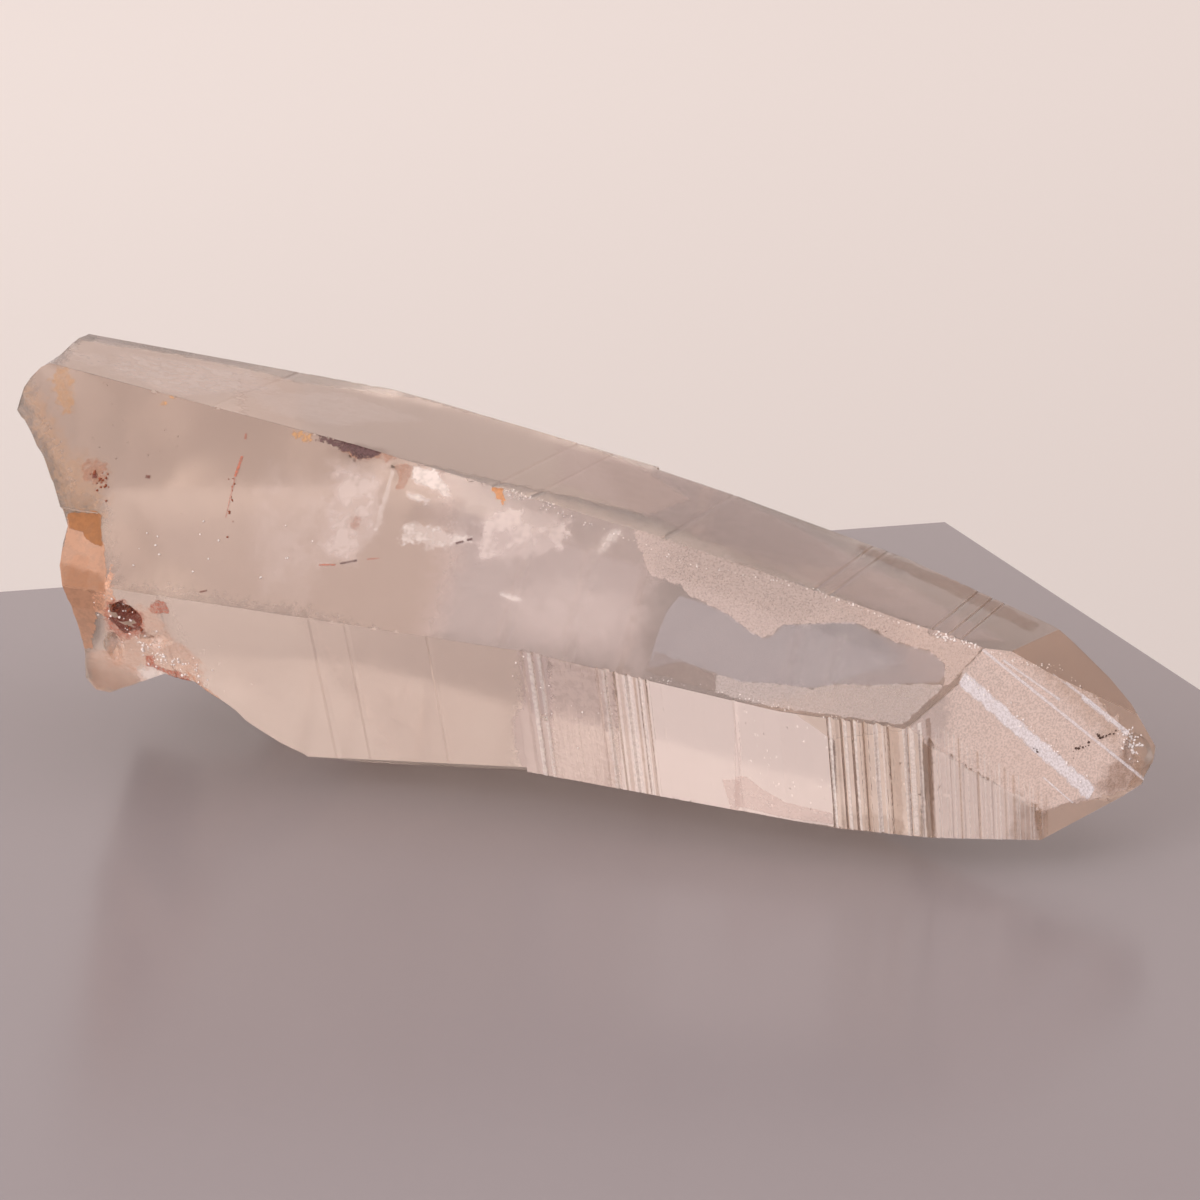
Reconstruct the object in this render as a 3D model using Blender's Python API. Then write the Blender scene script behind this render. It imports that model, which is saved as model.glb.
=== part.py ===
"""Lemurian quartz point lying on one side: one tapering natural crystal.

The crystal lies along X with its tip at +X and its broken base at -X.
Lengths are written in millimetres and turned into metres as they are used.
"""
import math
import random
from collections import namedtuple

import bmesh
import bpy
from mathutils import Matrix, Vector, noise

MM = 0.001
OBJECT_NAME = "quartz_point"
COLLECTION_NAME = "lemurian_quartz_point"

# ---------------------------------------------------------------- driving dimensions (mm, degrees)
AXIS_PITCH = 4.23
AXIS_CENTRE = (0.0, 0.0, 15.0)
ROUGH_BLOCK = 300.0
JOIN_STATION = -1.1
JOIN_OVERLAP = 3.0
BASE_END = -63.0
BASE_END_DIRECTION = Vector((-1.0, 0.08, 0.12))
CUT_TOLERANCE = 1e-7
MERGE_DISTANCE = 0.004
DISSOLVE_ANGLE = 0.15

# roll: turn of the face about the crystal axis; taper: lean toward the tip;
# distance: from the axis centre to the face.
Face = namedtuple("Face", "roll taper distance")

SIDE_FACES = {
    "upper_front": Face(55.3, 0.0, 21.46),
    "top_rear": Face(-2.8, 4.7, 16.82),
    "top_middle": Face(-2.9, 6.1, 16.22),
    "top_fore": Face(-2.7, 7.8, 16.48),
    "lower_front_rear": Face(117.0, 1.3, 18.02),
    "lower_front_middle": Face(115.5, -2.6, 18.35),
    "lower_front_fore": Face(115.5, 2.0, 20.46),
    "lower_front_neck": Face(115.4, 17.1, 29.53),
    "under_rear": Face(160.0, 7.3, 13.83),
    "under_middle": Face(160.0, 0.4, 14.53),
    "under_fore": Face(160.3, 4.8, 16.79),
    "under_neck": Face(164.0, 8.6, 18.49),
    "back_upper_rear": Face(299.9, -9.4, 23.67),
    "back_upper_middle": Face(299.6, 6.7, 15.73),
    "back_upper_fore": Face(300.0, 12.7, 15.00),
    "back_upper_neck": Face(300.7, 23.7, 20.07),
    "back_lower_rear": Face(238.0, 0.5, 18.50),
    "back_lower_fore": Face(238.0, 7.0, 17.50),
}
TIP_FACES = {
    "tip_front": Face(87.8, 36.4, 41.60),
    "tip_top": Face(2.2, 35.4, 36.20),
    "tip_low": Face(115.1, 40.0, 43.94),
    "tip_back_high": Face(325.9, 27.8, 27.21),
    "tip_back_middle": Face(325.0, 39.7, 35.57),
    "tip_back_low": Face(327.2, 49.1, 42.26),
    "tip_under": Face(201.4, 21.7, 20.49),
    "tip_nose": Face(243.1, 66.9, 51.02),
    "tip_chin": Face(212.5, 56.3, 46.57),
}
ALL_FACES = {**SIDE_FACES, **TIP_FACES}
REAR_FACES = (
    "upper_front", "top_rear", "top_middle", "lower_front_rear", "under_rear",
    "back_upper_rear", "back_upper_middle", "back_lower_rear",
)
FORE_FACES = (
    "upper_front", "top_middle", "top_fore", "lower_front_middle", "lower_front_fore",
    "lower_front_neck", "under_middle", "under_fore", "under_neck", "back_upper_middle",
    "back_upper_fore", "back_upper_neck", "back_lower_rear", "back_lower_fore",
) + tuple(TIP_FACES)

# Cross growth lines: face, first and last station along the crystal, width and depth.
GrowthLine = namedtuple("GrowthLine", "face station width depth")
GROWTH_LINES = (
    GrowthLine("lower_front_rear", -37.6, 0.9, 0.08),
    GrowthLine("lower_front_rear", -21.6, 0.8, 0.10),
    GrowthLine("lower_front_rear", -17.9, 0.7, 0.09),
    GrowthLine("lower_front_rear", -9.4, 0.6, 0.06),
    GrowthLine("lower_front_middle", 0.4, 0.8, 0.14),
    GrowthLine("lower_front_middle", 1.4, 0.7, 0.16),
    GrowthLine("lower_front_middle", 2.3, 0.6, 0.12),
    GrowthLine("lower_front_middle", 8.0, 0.5, 0.12),
    GrowthLine("lower_front_middle", 8.9, 0.6, 0.16),
    GrowthLine("lower_front_middle", 9.8, 0.6, 0.15),
    GrowthLine("lower_front_middle", 11.1, 0.7, 0.18),
    GrowthLine("lower_front_middle", 12.3, 0.5, 0.14),
    GrowthLine("lower_front_middle", 13.0, 0.4, 0.10),
    GrowthLine("lower_front_middle", 21.8, 0.5, 0.06),
    GrowthLine("lower_front_fore", 25.0, 0.5, 0.08),
    GrowthLine("lower_front_fore", 31.1, 0.7, 0.20),
    GrowthLine("lower_front_fore", 32.3, 0.6, 0.18),
    GrowthLine("lower_front_fore", 33.4, 0.7, 0.22),
    GrowthLine("lower_front_fore", 34.4, 0.5, 0.14),
    GrowthLine("lower_front_fore", 35.7, 0.9, 0.22),
    GrowthLine("lower_front_fore", 36.8, 0.6, 0.18),
    GrowthLine("lower_front_neck", 38.6, 0.7, 0.16),
    GrowthLine("lower_front_neck", 39.6, 0.5, 0.16),
    GrowthLine("lower_front_neck", 40.4, 0.6, 0.20),
    GrowthLine("lower_front_neck", 42.2, 0.4, 0.07),
    GrowthLine("lower_front_neck", 43.3, 0.4, 0.07),
    GrowthLine("lower_front_neck", 44.5, 0.4, 0.08),
    GrowthLine("lower_front_neck", 45.8, 0.4, 0.07),
    GrowthLine("top_rear", -38.0, 0.8, 0.07),
    GrowthLine("top_middle", -7.0, 0.7, 0.07),
    GrowthLine("top_middle", -3.0, 0.6, 0.07),
    GrowthLine("top_fore", 11.0, 0.7, 0.08),
    GrowthLine("top_fore", 26.6, 0.6, 0.10),
    GrowthLine("top_fore", 28.2, 0.6, 0.09),
    GrowthLine("top_fore", 38.6, 0.5, 0.10),
    GrowthLine("top_fore", 40.2, 0.5, 0.10),
    GrowthLine("top_fore", 41.5, 0.4, 0.08),
    GrowthLine("back_lower_rear", -33.0, 1.1, 0.18),
    GrowthLine("back_lower_rear", -28.0, 0.8, 0.14),
    GrowthLine("back_lower_rear", -20.0, 1.3, 0.20),
    GrowthLine("back_lower_rear", -11.0, 0.9, 0.16),
    GrowthLine("back_lower_rear", -4.0, 1.2, 0.20),
    GrowthLine("back_lower_rear", 4.0, 0.9, 0.16),
    GrowthLine("back_lower_fore", 20.0, 1.2, 0.20),
    GrowthLine("back_lower_fore", 24.0, 0.8, 0.14),
    GrowthLine("back_lower_fore", 31.0, 1.0, 0.18),
)
LINE_APEX = 0.28
LINE_RISE = 0.12
LINE_REACH = 1.2
LINE_BORDERS = {
    "lower_front_rear": ("upper_front", "under_rear"),
    "lower_front_middle": ("upper_front", "under_middle"),
    "lower_front_fore": ("upper_front", "under_fore"),
    "lower_front_neck": ("upper_front", "under_neck"),
    "top_rear": ("upper_front", "back_upper_rear"),
    "top_middle": ("upper_front", "back_upper_middle"),
    "top_fore": ("upper_front", "back_upper_fore"),
    "back_lower_rear": ("back_upper_middle", "under_middle"),
    "back_lower_fore": ("back_upper_fore", "under_fore"),
}

# Ledges across the large tip face: direction within the face, offset from its
# foot point, height of the step and width of its sloping riser.
LEDGE_DIRECTION = -38.9
WIDE_LEDGE = {"offset": 19.45, "depth": 0.55, "riser": 1.45}
THIN_LEDGE = {"offset": 22.15, "depth": 0.10, "riser": 0.35}
LEDGE_LIFT = 3.0
LEDGE_LENGTH = 80.0
LEDGE_SPREAD = 30.0
EDGE_BEVEL = Face(44.5, 49.3, 48.01)
EDGE_BEVEL_START = 46.0
EDGE_BEVEL_SIZE = (24.0, 24.0, 4.0)

# Outline of the broken base, seen square to its break, from the top to the foot.
BREAK_OUTLINE = (
    (-47.0, 49.0), (-49.9, 43.4), (-52.4, 41.6), (-54.2, 39.6), (-54.9, 37.3), (-53.4, 35.4),
    (-52.0, 33.7), (-50.6, 31.2), (-49.7, 29.0), (-48.7, 27.1), (-49.0, 25.4), (-49.3, 23.6),
    (-49.1, 22.0), (-48.5, 19.6), (-47.9, 16.6), (-47.8, 14.0), (-47.6, 11.2), (-46.6, 9.7),
    (-45.1, 9.4), (-43.2, 10.2), (-41.8, 11.0), (-38.9, 12.3), (-35.6, 11.8), (-33.0, 10.1),
    (-30.6, 7.9), (-25.8, 5.2), (-21.0, 3.0), (-14.0, -2.0),
)
BREAK_BLOCK = ((-30.0, -18.0), (-95.0, -18.0), (-95.0, 60.0), (-47.0, 60.0))
BREAK_DEPTH_START = -40.0
BREAK_DEPTH = 76.0
BREAK_LAYERS = 46
BREAK_STEP = 1.5
BREAK_REFERENCE_Y = -20.0
BREAK_LEAN = Vector((-0.351, 1.0, -0.106))
BREAK_ROUGH_SIZE = 5.5
BREAK_ROUGH_DEPTH = 0.55
BREAK_FINE_SIZE = 1.9
BREAK_FINE_DEPTH = 0.22
BREAK_FINE_SHIFT = Vector((7.0, 3.0, 1.0))
ROUGH_SEED = 7

# Shell-shaped scars: centre, radii, turn about Y, all outside the body surface.
Scar = namedtuple("Scar", "centre radii turn rough")
SCARS = (
    Scar((-63.0, 12.0, 22.0), (8.0, 13.0, 13.0), 10.0, 0.5),
    Scar((-62.5, -2.0, 30.0), (7.0, 8.0, 8.0), -20.0, 0.4),
    Scar((-58.0, 20.0, 6.0), (9.0, 11.0, 8.0), 35.0, 0.5),
    Scar((-41.7, -22.5, 18.9), (2.0, 1.9, 1.5), 25.0, 0.35),
    Scar((-39.2, -22.1, 15.8), (2.6, 2.3, 2.0), 0.0, 0.35),
    Scar((-37.8, -20.6, 13.0), (2.6, 1.9, 1.7), -20.0, 0.30),
    Scar((-44.4, -20.9, 14.0), (1.6, 2.2, 2.9), 10.0, 0.25),
    Scar((58.1, -10.0, 12.1), (2.3, 2.4, 2.9), 0.0, 0.12),
    Scar((56.5, -10.2, 14.2), (1.0, 1.3, 1.2), 0.0, 0.10),
    Scar((58.6, -8.4, 9.4), (1.3, 1.4, 1.2), 0.0, 0.10),
    Scar((1.33, -19.33, 12.23), (0.50, 0.50, 0.50), 0.0, 0.10),
)
SCAR_DETAIL = 3
SCAR_BUMP_DENSITY = 2.3

# Sunken window at the base, within the upper front face (along, across).
WINDOW_OUTLINE = (
    (-60.0, -2.9), (-46.65, -2.6), (-45.7, -4.8), (-44.5, -7.3), (-43.6, -9.8), (-43.2, -11.6), (-60.0, -13.2),
)
WINDOW_DEPTH = 0.55

# Chipped edges: pair of faces, first and last station, number and size of the chips.
EdgeWear = namedtuple("EdgeWear", "first second start end count size")
EDGE_WEAR = (
    EdgeWear("upper_front", "top_middle", -16.0, -3.0, 9, 0.42),
    EdgeWear("upper_front", "top_fore", 8.0, 24.0, 10, 0.34),
    EdgeWear("upper_front", "top_fore", 25.5, 30.5, 6, 0.46),
    EdgeWear("upper_front", "top_fore", 38.6, 41.2, 4, 0.85),
    EdgeWear("upper_front", "lower_front_rear", -20.0, -12.0, 7, 0.40),
    EdgeWear("upper_front", "lower_front_middle", 0.0, 24.0, 9, 0.36),
    EdgeWear("upper_front", "top_rear", -47.0, -22.0, 7, 0.45),
    EdgeWear("top_rear", "back_upper_rear", -40.0, -30.0, 5, 0.50),
    EdgeWear("top_fore", "back_upper_neck", 36.2, 37.6, 2, 0.55),
    EdgeWear("lower_front_fore", "under_fore", 26.0, 36.0, 7, 0.34),
    EdgeWear("lower_front_middle", "under_middle", 2.0, 20.0, 8, 0.34),
)
WEAR_SEED = 20
WEAR_SPACING_RANGE = (0.2, 0.8)
WEAR_SIZE_RANGE = (0.6, 1.15)
WEAR_STRETCH_RANGE = (1.33, 1.53)
WEAR_OUTSET = 0.45
WEAR_TURN_AXIS = Vector((0.3, 0.5, 0.8))

QUARTZ_COLOUR = (0.83, 0.74, 0.68, 1.0)
QUARTZ_ROUGHNESS = 0.22


# ---------------------------------------------------------------- shared frame and helpers
def axis_frame():
    """Directions along the crystal, across it and square to both."""
    pitch = math.radians(AXIS_PITCH)
    along = Vector((math.cos(pitch), 0.0, -math.sin(pitch)))
    across = Vector((0.0, 1.0, 0.0))
    rise = Vector((math.sin(pitch), 0.0, math.cos(pitch)))
    return along, across, rise


def face_normal(face):
    """Outward direction of a face."""
    along, across, rise = axis_frame()
    turn = math.radians(face.roll + 90.0)
    lean = math.radians(face.taper)
    side = math.cos(turn) * across + math.sin(turn) * rise
    return (math.cos(lean) * side + math.sin(lean) * along).normalized()


def face_matrix(face):
    """Frame of a face in metres: along it, across it, outward."""
    along, _, _ = axis_frame()
    normal = face_normal(face)
    run = (along - along.dot(normal) * normal).normalized()
    side = normal.cross(run)
    foot = (Vector(AXIS_CENTRE) + face.distance * normal) * MM
    frame = Matrix((run, side, normal)).transposed().to_4x4()
    frame.translation = foot
    return frame


def station_on_face(face, station):
    """Distance along a face, from its foot point, of a station on the axis."""
    lean = math.radians(face.taper)
    return (station - math.sin(lean) * face.distance) / math.cos(lean)


def edge_point(first, second, station):
    """Point in metres where two faces meet at a station along the crystal."""
    along, _, _ = axis_frame()
    centre = Vector(AXIS_CENTRE)
    rows = Matrix((face_normal(first), face_normal(second), along))
    limits = Vector((first.distance, second.distance, station))
    return (centre + rows.inverted() @ limits) * MM


def cut_by_plane(bm, point, normal):
    """Trim everything outside a plane and close the cut."""
    everything = bm.verts[:] + bm.edges[:] + bm.faces[:]
    bmesh.ops.bisect_plane(
        bm, geom=everything, dist=CUT_TOLERANCE, plane_co=point, plane_no=normal, clear_outer=True,
    )
    rim = [edge for edge in bm.edges if edge.is_boundary]
    if rim:
        bmesh.ops.holes_fill(bm, edges=rim, sides=0)


def new_object(name, bm, collection):
    """Turn a bmesh into an object in a collection."""
    bmesh.ops.recalc_face_normals(bm, faces=bm.faces[:])
    mesh = bpy.data.meshes.new(name)
    bm.to_mesh(mesh)
    bm.free()
    made = bpy.data.objects.new(name, mesh)
    collection.objects.link(made)
    return made


def apply_boolean(target, other, operation):
    """Join or cut one object with another and keep the result as plain mesh."""
    step = target.modifiers.new(other.name, "BOOLEAN")
    step.operation = operation
    step.solver = "EXACT"
    step.object = other
    bpy.context.view_layer.update()
    graph = bpy.context.evaluated_depsgraph_get()
    result = bpy.data.meshes.new_from_object(target.evaluated_get(graph))
    target.modifiers.remove(step)
    bm = bmesh.new()
    bm.from_mesh(result)
    bmesh.ops.triangulate(bm, faces=bm.faces[:])
    bm.to_mesh(result)
    bm.free()
    old = target.data
    target.data = result
    bpy.data.meshes.remove(old)


# ---------------------------------------------------------------- crystal body
def rough_block():
    """Large block from which the faces are cut."""
    bm = bmesh.new()
    bmesh.ops.create_cube(bm, size=ROUGH_BLOCK * MM)
    return bm


def cut_faces(bm, names):
    """Cut the named crystal faces and the flat resting facet."""
    for name in names:
        face = ALL_FACES[name]
        normal = face_normal(face)
        foot = (Vector(AXIS_CENTRE) + face.distance * normal) * MM
        cut_by_plane(bm, foot, normal)
    cut_by_plane(bm, Vector((0.0, 0.0, 0.0)), Vector((0.0, 0.0, -1.0)))


def rear_body(collection):
    """Broad rear length of the crystal."""
    along, _, _ = axis_frame()
    bm = rough_block()
    cut_faces(bm, REAR_FACES)
    centre = Vector(AXIS_CENTRE)
    cut_by_plane(bm, (centre + (JOIN_STATION + JOIN_OVERLAP) * along) * MM, along)
    cut_by_plane(bm, Vector((BASE_END, 0.0, AXIS_CENTRE[2])) * MM, BASE_END_DIRECTION)
    return new_object(OBJECT_NAME, bm, collection)


def fore_body(collection):
    """Tapering fore length of the crystal with the tip faces."""
    along, _, _ = axis_frame()
    bm = rough_block()
    cut_faces(bm, FORE_FACES)
    cut_by_plane(bm, (Vector(AXIS_CENTRE) + JOIN_STATION * along) * MM, -along)
    return new_object("fore_length", bm, collection)


# ---------------------------------------------------------------- growth lines and ledges
def add_prism(bm, profile, frame, start, end):
    """Add a straight bar: profile in the frame's run/normal plane, drawn across it."""
    near = [bm.verts.new(frame @ Vector((run, start, height))) for run, height in profile]
    far = [bm.verts.new(frame @ Vector((run, end, height))) for run, height in profile]
    count = len(profile)
    bm.faces.new(near)
    bm.faces.new(list(reversed(far)))
    for index in range(count):
        nxt = (index + 1) % count
        bm.faces.new((near[index], far[index], far[nxt], near[nxt]))


def growth_line_cutter(collection, name, line):
    """Shallow lopsided groove square to the crystal's length."""
    bm = bmesh.new()
    face = ALL_FACES[line.face]
    frame = face_matrix(face)
    deepest = station_on_face(face, line.station) + (LINE_APEX - 0.5) * line.width
    spread = 1.0 + LINE_RISE / line.depth
    profile = (
        (deepest * MM, -line.depth * MM),
        ((deepest + (1.0 - LINE_APEX) * line.width * spread) * MM, LINE_RISE * MM),
        ((deepest - LINE_APEX * line.width * spread) * MM, LINE_RISE * MM),
    )
    inward = frame.inverted()
    ends = [
        (inward @ edge_point(face, ALL_FACES[border], line.station)).y
        for border in LINE_BORDERS[line.face]
    ]
    reach = LINE_REACH * MM
    add_prism(bm, profile, frame, min(ends) - reach, max(ends) + reach)
    return new_object(name, bm, collection)


def ledge_frame():
    """Frame on the large tip face with its second axis along the ledges."""
    base = face_matrix(ALL_FACES["tip_front"])
    turn = Matrix.Rotation(math.radians(LEDGE_DIRECTION - 90.0), 4, "Z")
    return base @ turn


def ledge_cutter(collection, name, ledge, floor_depth):
    """Wedge that lowers the tip face beyond a ledge line, down a sloping riser."""
    bm = bmesh.new()
    edge = -ledge["offset"] * MM
    top = floor_depth * MM
    low = top + ledge["depth"] * MM
    lift = LEDGE_LIFT * MM
    run = ledge["riser"] * MM * (lift + top) / (low - top)
    profile = (
        (edge - ledge["riser"] * MM, -low),
        (edge - LEDGE_SPREAD * MM, -low),
        (edge - LEDGE_SPREAD * MM, lift),
        (edge + run, lift),
    )
    half = LEDGE_LENGTH * MM
    add_prism(bm, profile, ledge_frame(), -half, half)
    return new_object(name, bm, collection)


# ---------------------------------------------------------------- broken base, scars and chips
def resample(points, step):
    """Points spaced evenly along a line of corners."""
    spaced = []
    for start, end in zip(points[:-1], points[1:]):
        span = math.dist(start, end)
        pieces = max(1, round(span / step))
        for piece in range(pieces):
            share = piece / pieces
            spaced.append((
                start[0] + (end[0] - start[0]) * share,
                start[1] + (end[1] - start[1]) * share,
            ))
    spaced.append(points[-1])
    return spaced


def break_cutter(collection):
    """Rough-walled block whose wall is the fracture across the base."""
    rough_points = resample(BREAK_OUTLINE, BREAK_STEP)
    wall_count = len(rough_points)
    outline = list(rough_points) + list(BREAK_BLOCK)
    bm = bmesh.new()
    layer = BREAK_DEPTH / BREAK_LAYERS
    rings = []
    for index in range(BREAK_LAYERS + 1):
        depth = BREAK_DEPTH_START + layer * index
        shift = BREAK_LEAN * (depth - BREAK_REFERENCE_Y)
        ring = []
        for number, (x, z) in enumerate(outline):
            spot = Vector((x + shift.x, depth, z + shift.z))
            if 0 < number < wall_count - 1:
                coarse = noise.noise_vector(spot / BREAK_ROUGH_SIZE)
                fine = noise.noise_vector(spot / BREAK_FINE_SIZE + BREAK_FINE_SHIFT)
                offset = coarse * BREAK_ROUGH_DEPTH + fine * BREAK_FINE_DEPTH
                spot += Vector((offset.x, 0.0, offset.z))
            ring.append(bm.verts.new(spot * MM))
        rings.append(ring)
    count = len(outline)
    for first, second in zip(rings[:-1], rings[1:]):
        for index in range(count):
            nxt = (index + 1) % count
            bm.faces.new((first[index], first[nxt], second[nxt], second[index]))
    bm.faces.new(rings[0])
    bm.faces.new(list(reversed(rings[-1])))
    bmesh.ops.triangulate(bm, faces=[face for face in bm.faces if len(face.verts) == 4])
    return new_object("base_break", bm, collection)


def scar_cutter(collection, name, scar):
    """Rough ellipsoid for a shell-shaped scar or a pit."""
    bm = bmesh.new()
    bmesh.ops.create_icosphere(bm, subdivisions=SCAR_DETAIL, radius=1.0)
    turn = Matrix.Rotation(math.radians(scar.turn), 3, "Y")
    for vert in bm.verts:
        bump = noise.noise(vert.co * SCAR_BUMP_DENSITY + Vector(scar.centre))
        stretched = Vector((
            vert.co.x * scar.radii[0], vert.co.y * scar.radii[1], vert.co.z * scar.radii[2],
        ))
        stretched += vert.co * bump * scar.rough
        vert.co = (turn @ stretched + Vector(scar.centre)) * MM
    return new_object(name, bm, collection)


def window_cutter(collection):
    """Shallow pocket with straight sides in the upper front face at the base."""
    frame = face_matrix(ALL_FACES["upper_front"])
    bm = bmesh.new()
    low = [bm.verts.new(frame @ (Vector((x, y, -WINDOW_DEPTH)) * MM)) for x, y in WINDOW_OUTLINE]
    high = [bm.verts.new(frame @ (Vector((x, y, LEDGE_LIFT)) * MM)) for x, y in WINDOW_OUTLINE]
    count = len(WINDOW_OUTLINE)
    bm.faces.new(low)
    bm.faces.new(list(reversed(high)))
    for index in range(count):
        nxt = (index + 1) % count
        bm.faces.new((low[index], high[index], high[nxt], low[nxt]))
    return new_object("stained_window", bm, collection)


def edge_chip_cutters(collection):
    """Small angular chips along the worn edges."""
    chance = random.Random(WEAR_SEED)
    chips = []
    for wear in EDGE_WEAR:
        first = ALL_FACES[wear.first]
        second = ALL_FACES[wear.second]
        outward = (face_normal(first) + face_normal(second)).normalized()
        for index in range(wear.count):
            share = (index + chance.uniform(*WEAR_SPACING_RANGE)) / wear.count
            station = wear.start + (wear.end - wear.start) * share
            size = wear.size * chance.uniform(*WEAR_SIZE_RANGE)
            spot = edge_point(first, second, station) + outward * size * WEAR_OUTSET * MM
            turn = Matrix.Rotation(chance.uniform(0.0, math.tau), 3, WEAR_TURN_AXIS)
            bm = bmesh.new()
            bmesh.ops.create_icosphere(bm, subdivisions=1, radius=size * MM)
            for vert in bm.verts:
                local = turn @ vert.co
                local.x *= chance.uniform(*WEAR_STRETCH_RANGE)
                vert.co = local + spot
            chips.append(new_object(f"edge_chip_{len(chips)}", bm, collection))
    return chips


def edge_bevel(collection):
    """Narrow bevel between the large tip face and the top tip face."""
    frame = face_matrix(EDGE_BEVEL)
    bm = bmesh.new()
    bmesh.ops.create_cube(bm, size=1.0)
    size = Vector(EDGE_BEVEL_SIZE) * MM
    for vert in bm.verts:
        vert.co = Vector((vert.co.x * size.x, vert.co.y * size.y, (vert.co.z + 0.5) * size.z))
    run = station_on_face(EDGE_BEVEL, EDGE_BEVEL_START) * MM + size.x / 2.0
    bmesh.ops.transform(bm, matrix=frame @ Matrix.Translation((run, 0.0, 0.0)), verts=bm.verts[:])
    return new_object("edge_bevel", bm, collection)


# ---------------------------------------------------------------- material and finishing
def quartz_material():
    """Clear, faintly peach quartz."""
    made = bpy.data.materials.new("quartz")
    made.use_nodes = True
    shader = made.node_tree.nodes["Principled BSDF"]
    shader.inputs["Base Color"].default_value = QUARTZ_COLOUR
    shader.inputs["Roughness"].default_value = QUARTZ_ROUGHNESS
    shader.inputs["Metallic"].default_value = 0.0
    made.diffuse_color = QUARTZ_COLOUR
    return made


def finish(crystal):
    """Tidy the mesh, centre it over the origin on the ground and keep it flat shaded."""
    bm = bmesh.new()
    bm.from_mesh(crystal.data)
    bmesh.ops.remove_doubles(bm, verts=bm.verts[:], dist=MERGE_DISTANCE * MM)
    bmesh.ops.dissolve_limit(
        bm, angle_limit=math.radians(DISSOLVE_ANGLE), verts=bm.verts[:], edges=bm.edges[:],
    )
    bmesh.ops.triangulate(bm, faces=bm.faces[:])
    low = Vector([min(vert.co[axis] for vert in bm.verts) for axis in range(3)])
    high = Vector([max(vert.co[axis] for vert in bm.verts) for axis in range(3)])
    middle = (low + high) / 2.0
    bmesh.ops.translate(bm, verts=bm.verts[:], vec=Vector((-middle.x, -middle.y, -low.z)))
    bmesh.ops.recalc_face_normals(bm, faces=bm.faces[:])
    bm.to_mesh(crystal.data)
    bm.free()
    crystal.data.materials.clear()
    crystal.data.materials.append(quartz_material())


def clear_scene():
    """Start from an empty scene."""
    for item in list(bpy.data.objects):
        bpy.data.objects.remove(item, do_unlink=True)


def main():
    """Build the crystal."""
    clear_scene()
    noise.seed_set(ROUGH_SEED)
    root = bpy.context.scene.collection
    shown = bpy.data.collections.new(COLLECTION_NAME)
    hidden = bpy.data.collections.new("cutters")
    root.children.link(shown)
    root.children.link(hidden)
    crystal = rear_body(shown)
    fore = fore_body(hidden)
    apply_boolean(crystal, fore, "UNION")
    tools = [
        growth_line_cutter(hidden, f"growth_line_{index}", line)
        for index, line in enumerate(GROWTH_LINES)
    ]
    tools.append(ledge_cutter(hidden, "wide_ledge", WIDE_LEDGE, 0.0))
    tools.append(ledge_cutter(hidden, "thin_ledge", THIN_LEDGE, WIDE_LEDGE["depth"]))
    tools.append(edge_bevel(hidden))
    tools.append(window_cutter(hidden))
    tools.append(break_cutter(hidden))
    tools += edge_chip_cutters(hidden)
    tools += [scar_cutter(hidden, f"scar_{index}", scar) for index, scar in enumerate(SCARS)]
    for tool in tools:
        apply_boolean(crystal, tool, "DIFFERENCE")
    finish(crystal)
    for item in hidden.objects:
        item.hide_render = True
        item.display_type = "WIRE"


main()
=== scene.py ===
"""Looks of a lemurian quartz point: its crystal skin, frosting, stains, veils and studio stage."""
import math
import random
from collections import namedtuple

import bmesh
import bpy
import numpy as np
from bpy.props import FloatProperty, FloatVectorProperty, IntProperty, PointerProperty
from bpy.types import Operator, Panel, PropertyGroup
from mathutils import Euler, Matrix, Vector, noise
from mathutils.bvhtree import BVHTree


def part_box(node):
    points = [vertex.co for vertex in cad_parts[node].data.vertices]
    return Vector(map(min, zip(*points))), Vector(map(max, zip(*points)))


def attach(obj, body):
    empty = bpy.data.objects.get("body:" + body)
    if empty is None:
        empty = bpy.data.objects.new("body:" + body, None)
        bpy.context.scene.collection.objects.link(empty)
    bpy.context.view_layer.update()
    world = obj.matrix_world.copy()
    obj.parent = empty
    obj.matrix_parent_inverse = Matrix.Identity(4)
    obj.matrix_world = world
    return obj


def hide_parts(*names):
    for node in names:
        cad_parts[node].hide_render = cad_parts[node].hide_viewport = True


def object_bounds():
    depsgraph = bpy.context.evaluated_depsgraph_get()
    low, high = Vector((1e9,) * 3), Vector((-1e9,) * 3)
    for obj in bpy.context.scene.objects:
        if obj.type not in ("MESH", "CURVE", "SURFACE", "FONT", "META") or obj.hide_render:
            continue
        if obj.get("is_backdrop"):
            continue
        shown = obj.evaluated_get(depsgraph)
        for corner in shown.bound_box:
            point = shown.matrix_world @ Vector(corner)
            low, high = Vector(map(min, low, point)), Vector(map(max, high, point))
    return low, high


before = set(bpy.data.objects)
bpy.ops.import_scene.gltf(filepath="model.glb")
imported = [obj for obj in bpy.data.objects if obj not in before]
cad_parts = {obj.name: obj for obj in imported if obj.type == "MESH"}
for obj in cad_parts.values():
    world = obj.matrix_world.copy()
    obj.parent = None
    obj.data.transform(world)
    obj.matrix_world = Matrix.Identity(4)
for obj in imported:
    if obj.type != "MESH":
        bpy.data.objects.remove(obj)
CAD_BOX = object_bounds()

bl_info = {
    "name": "Lemurian quartz point",
    "version": (1, 0, 0),
    "blender": (4, 5, 0),
    "location": "View3D > Sidebar > Quartz",
    "description": "Builds the finish of a natural quartz point lying on one side",
    "category": "Object",
}

# ---------------------------------------------------------------- sizes in millimetres
MM = 0.001
AXIS_PITCH = math.radians(4.23)
AXIS_CENTRE = Vector((1.0588, 0.6760, 15.0))
CRYSTAL_NODE = "quartz_point"
CRYSTAL_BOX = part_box(CRYSTAL_NODE)
BODY = "root"
NOISE_SEED = 7

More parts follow.
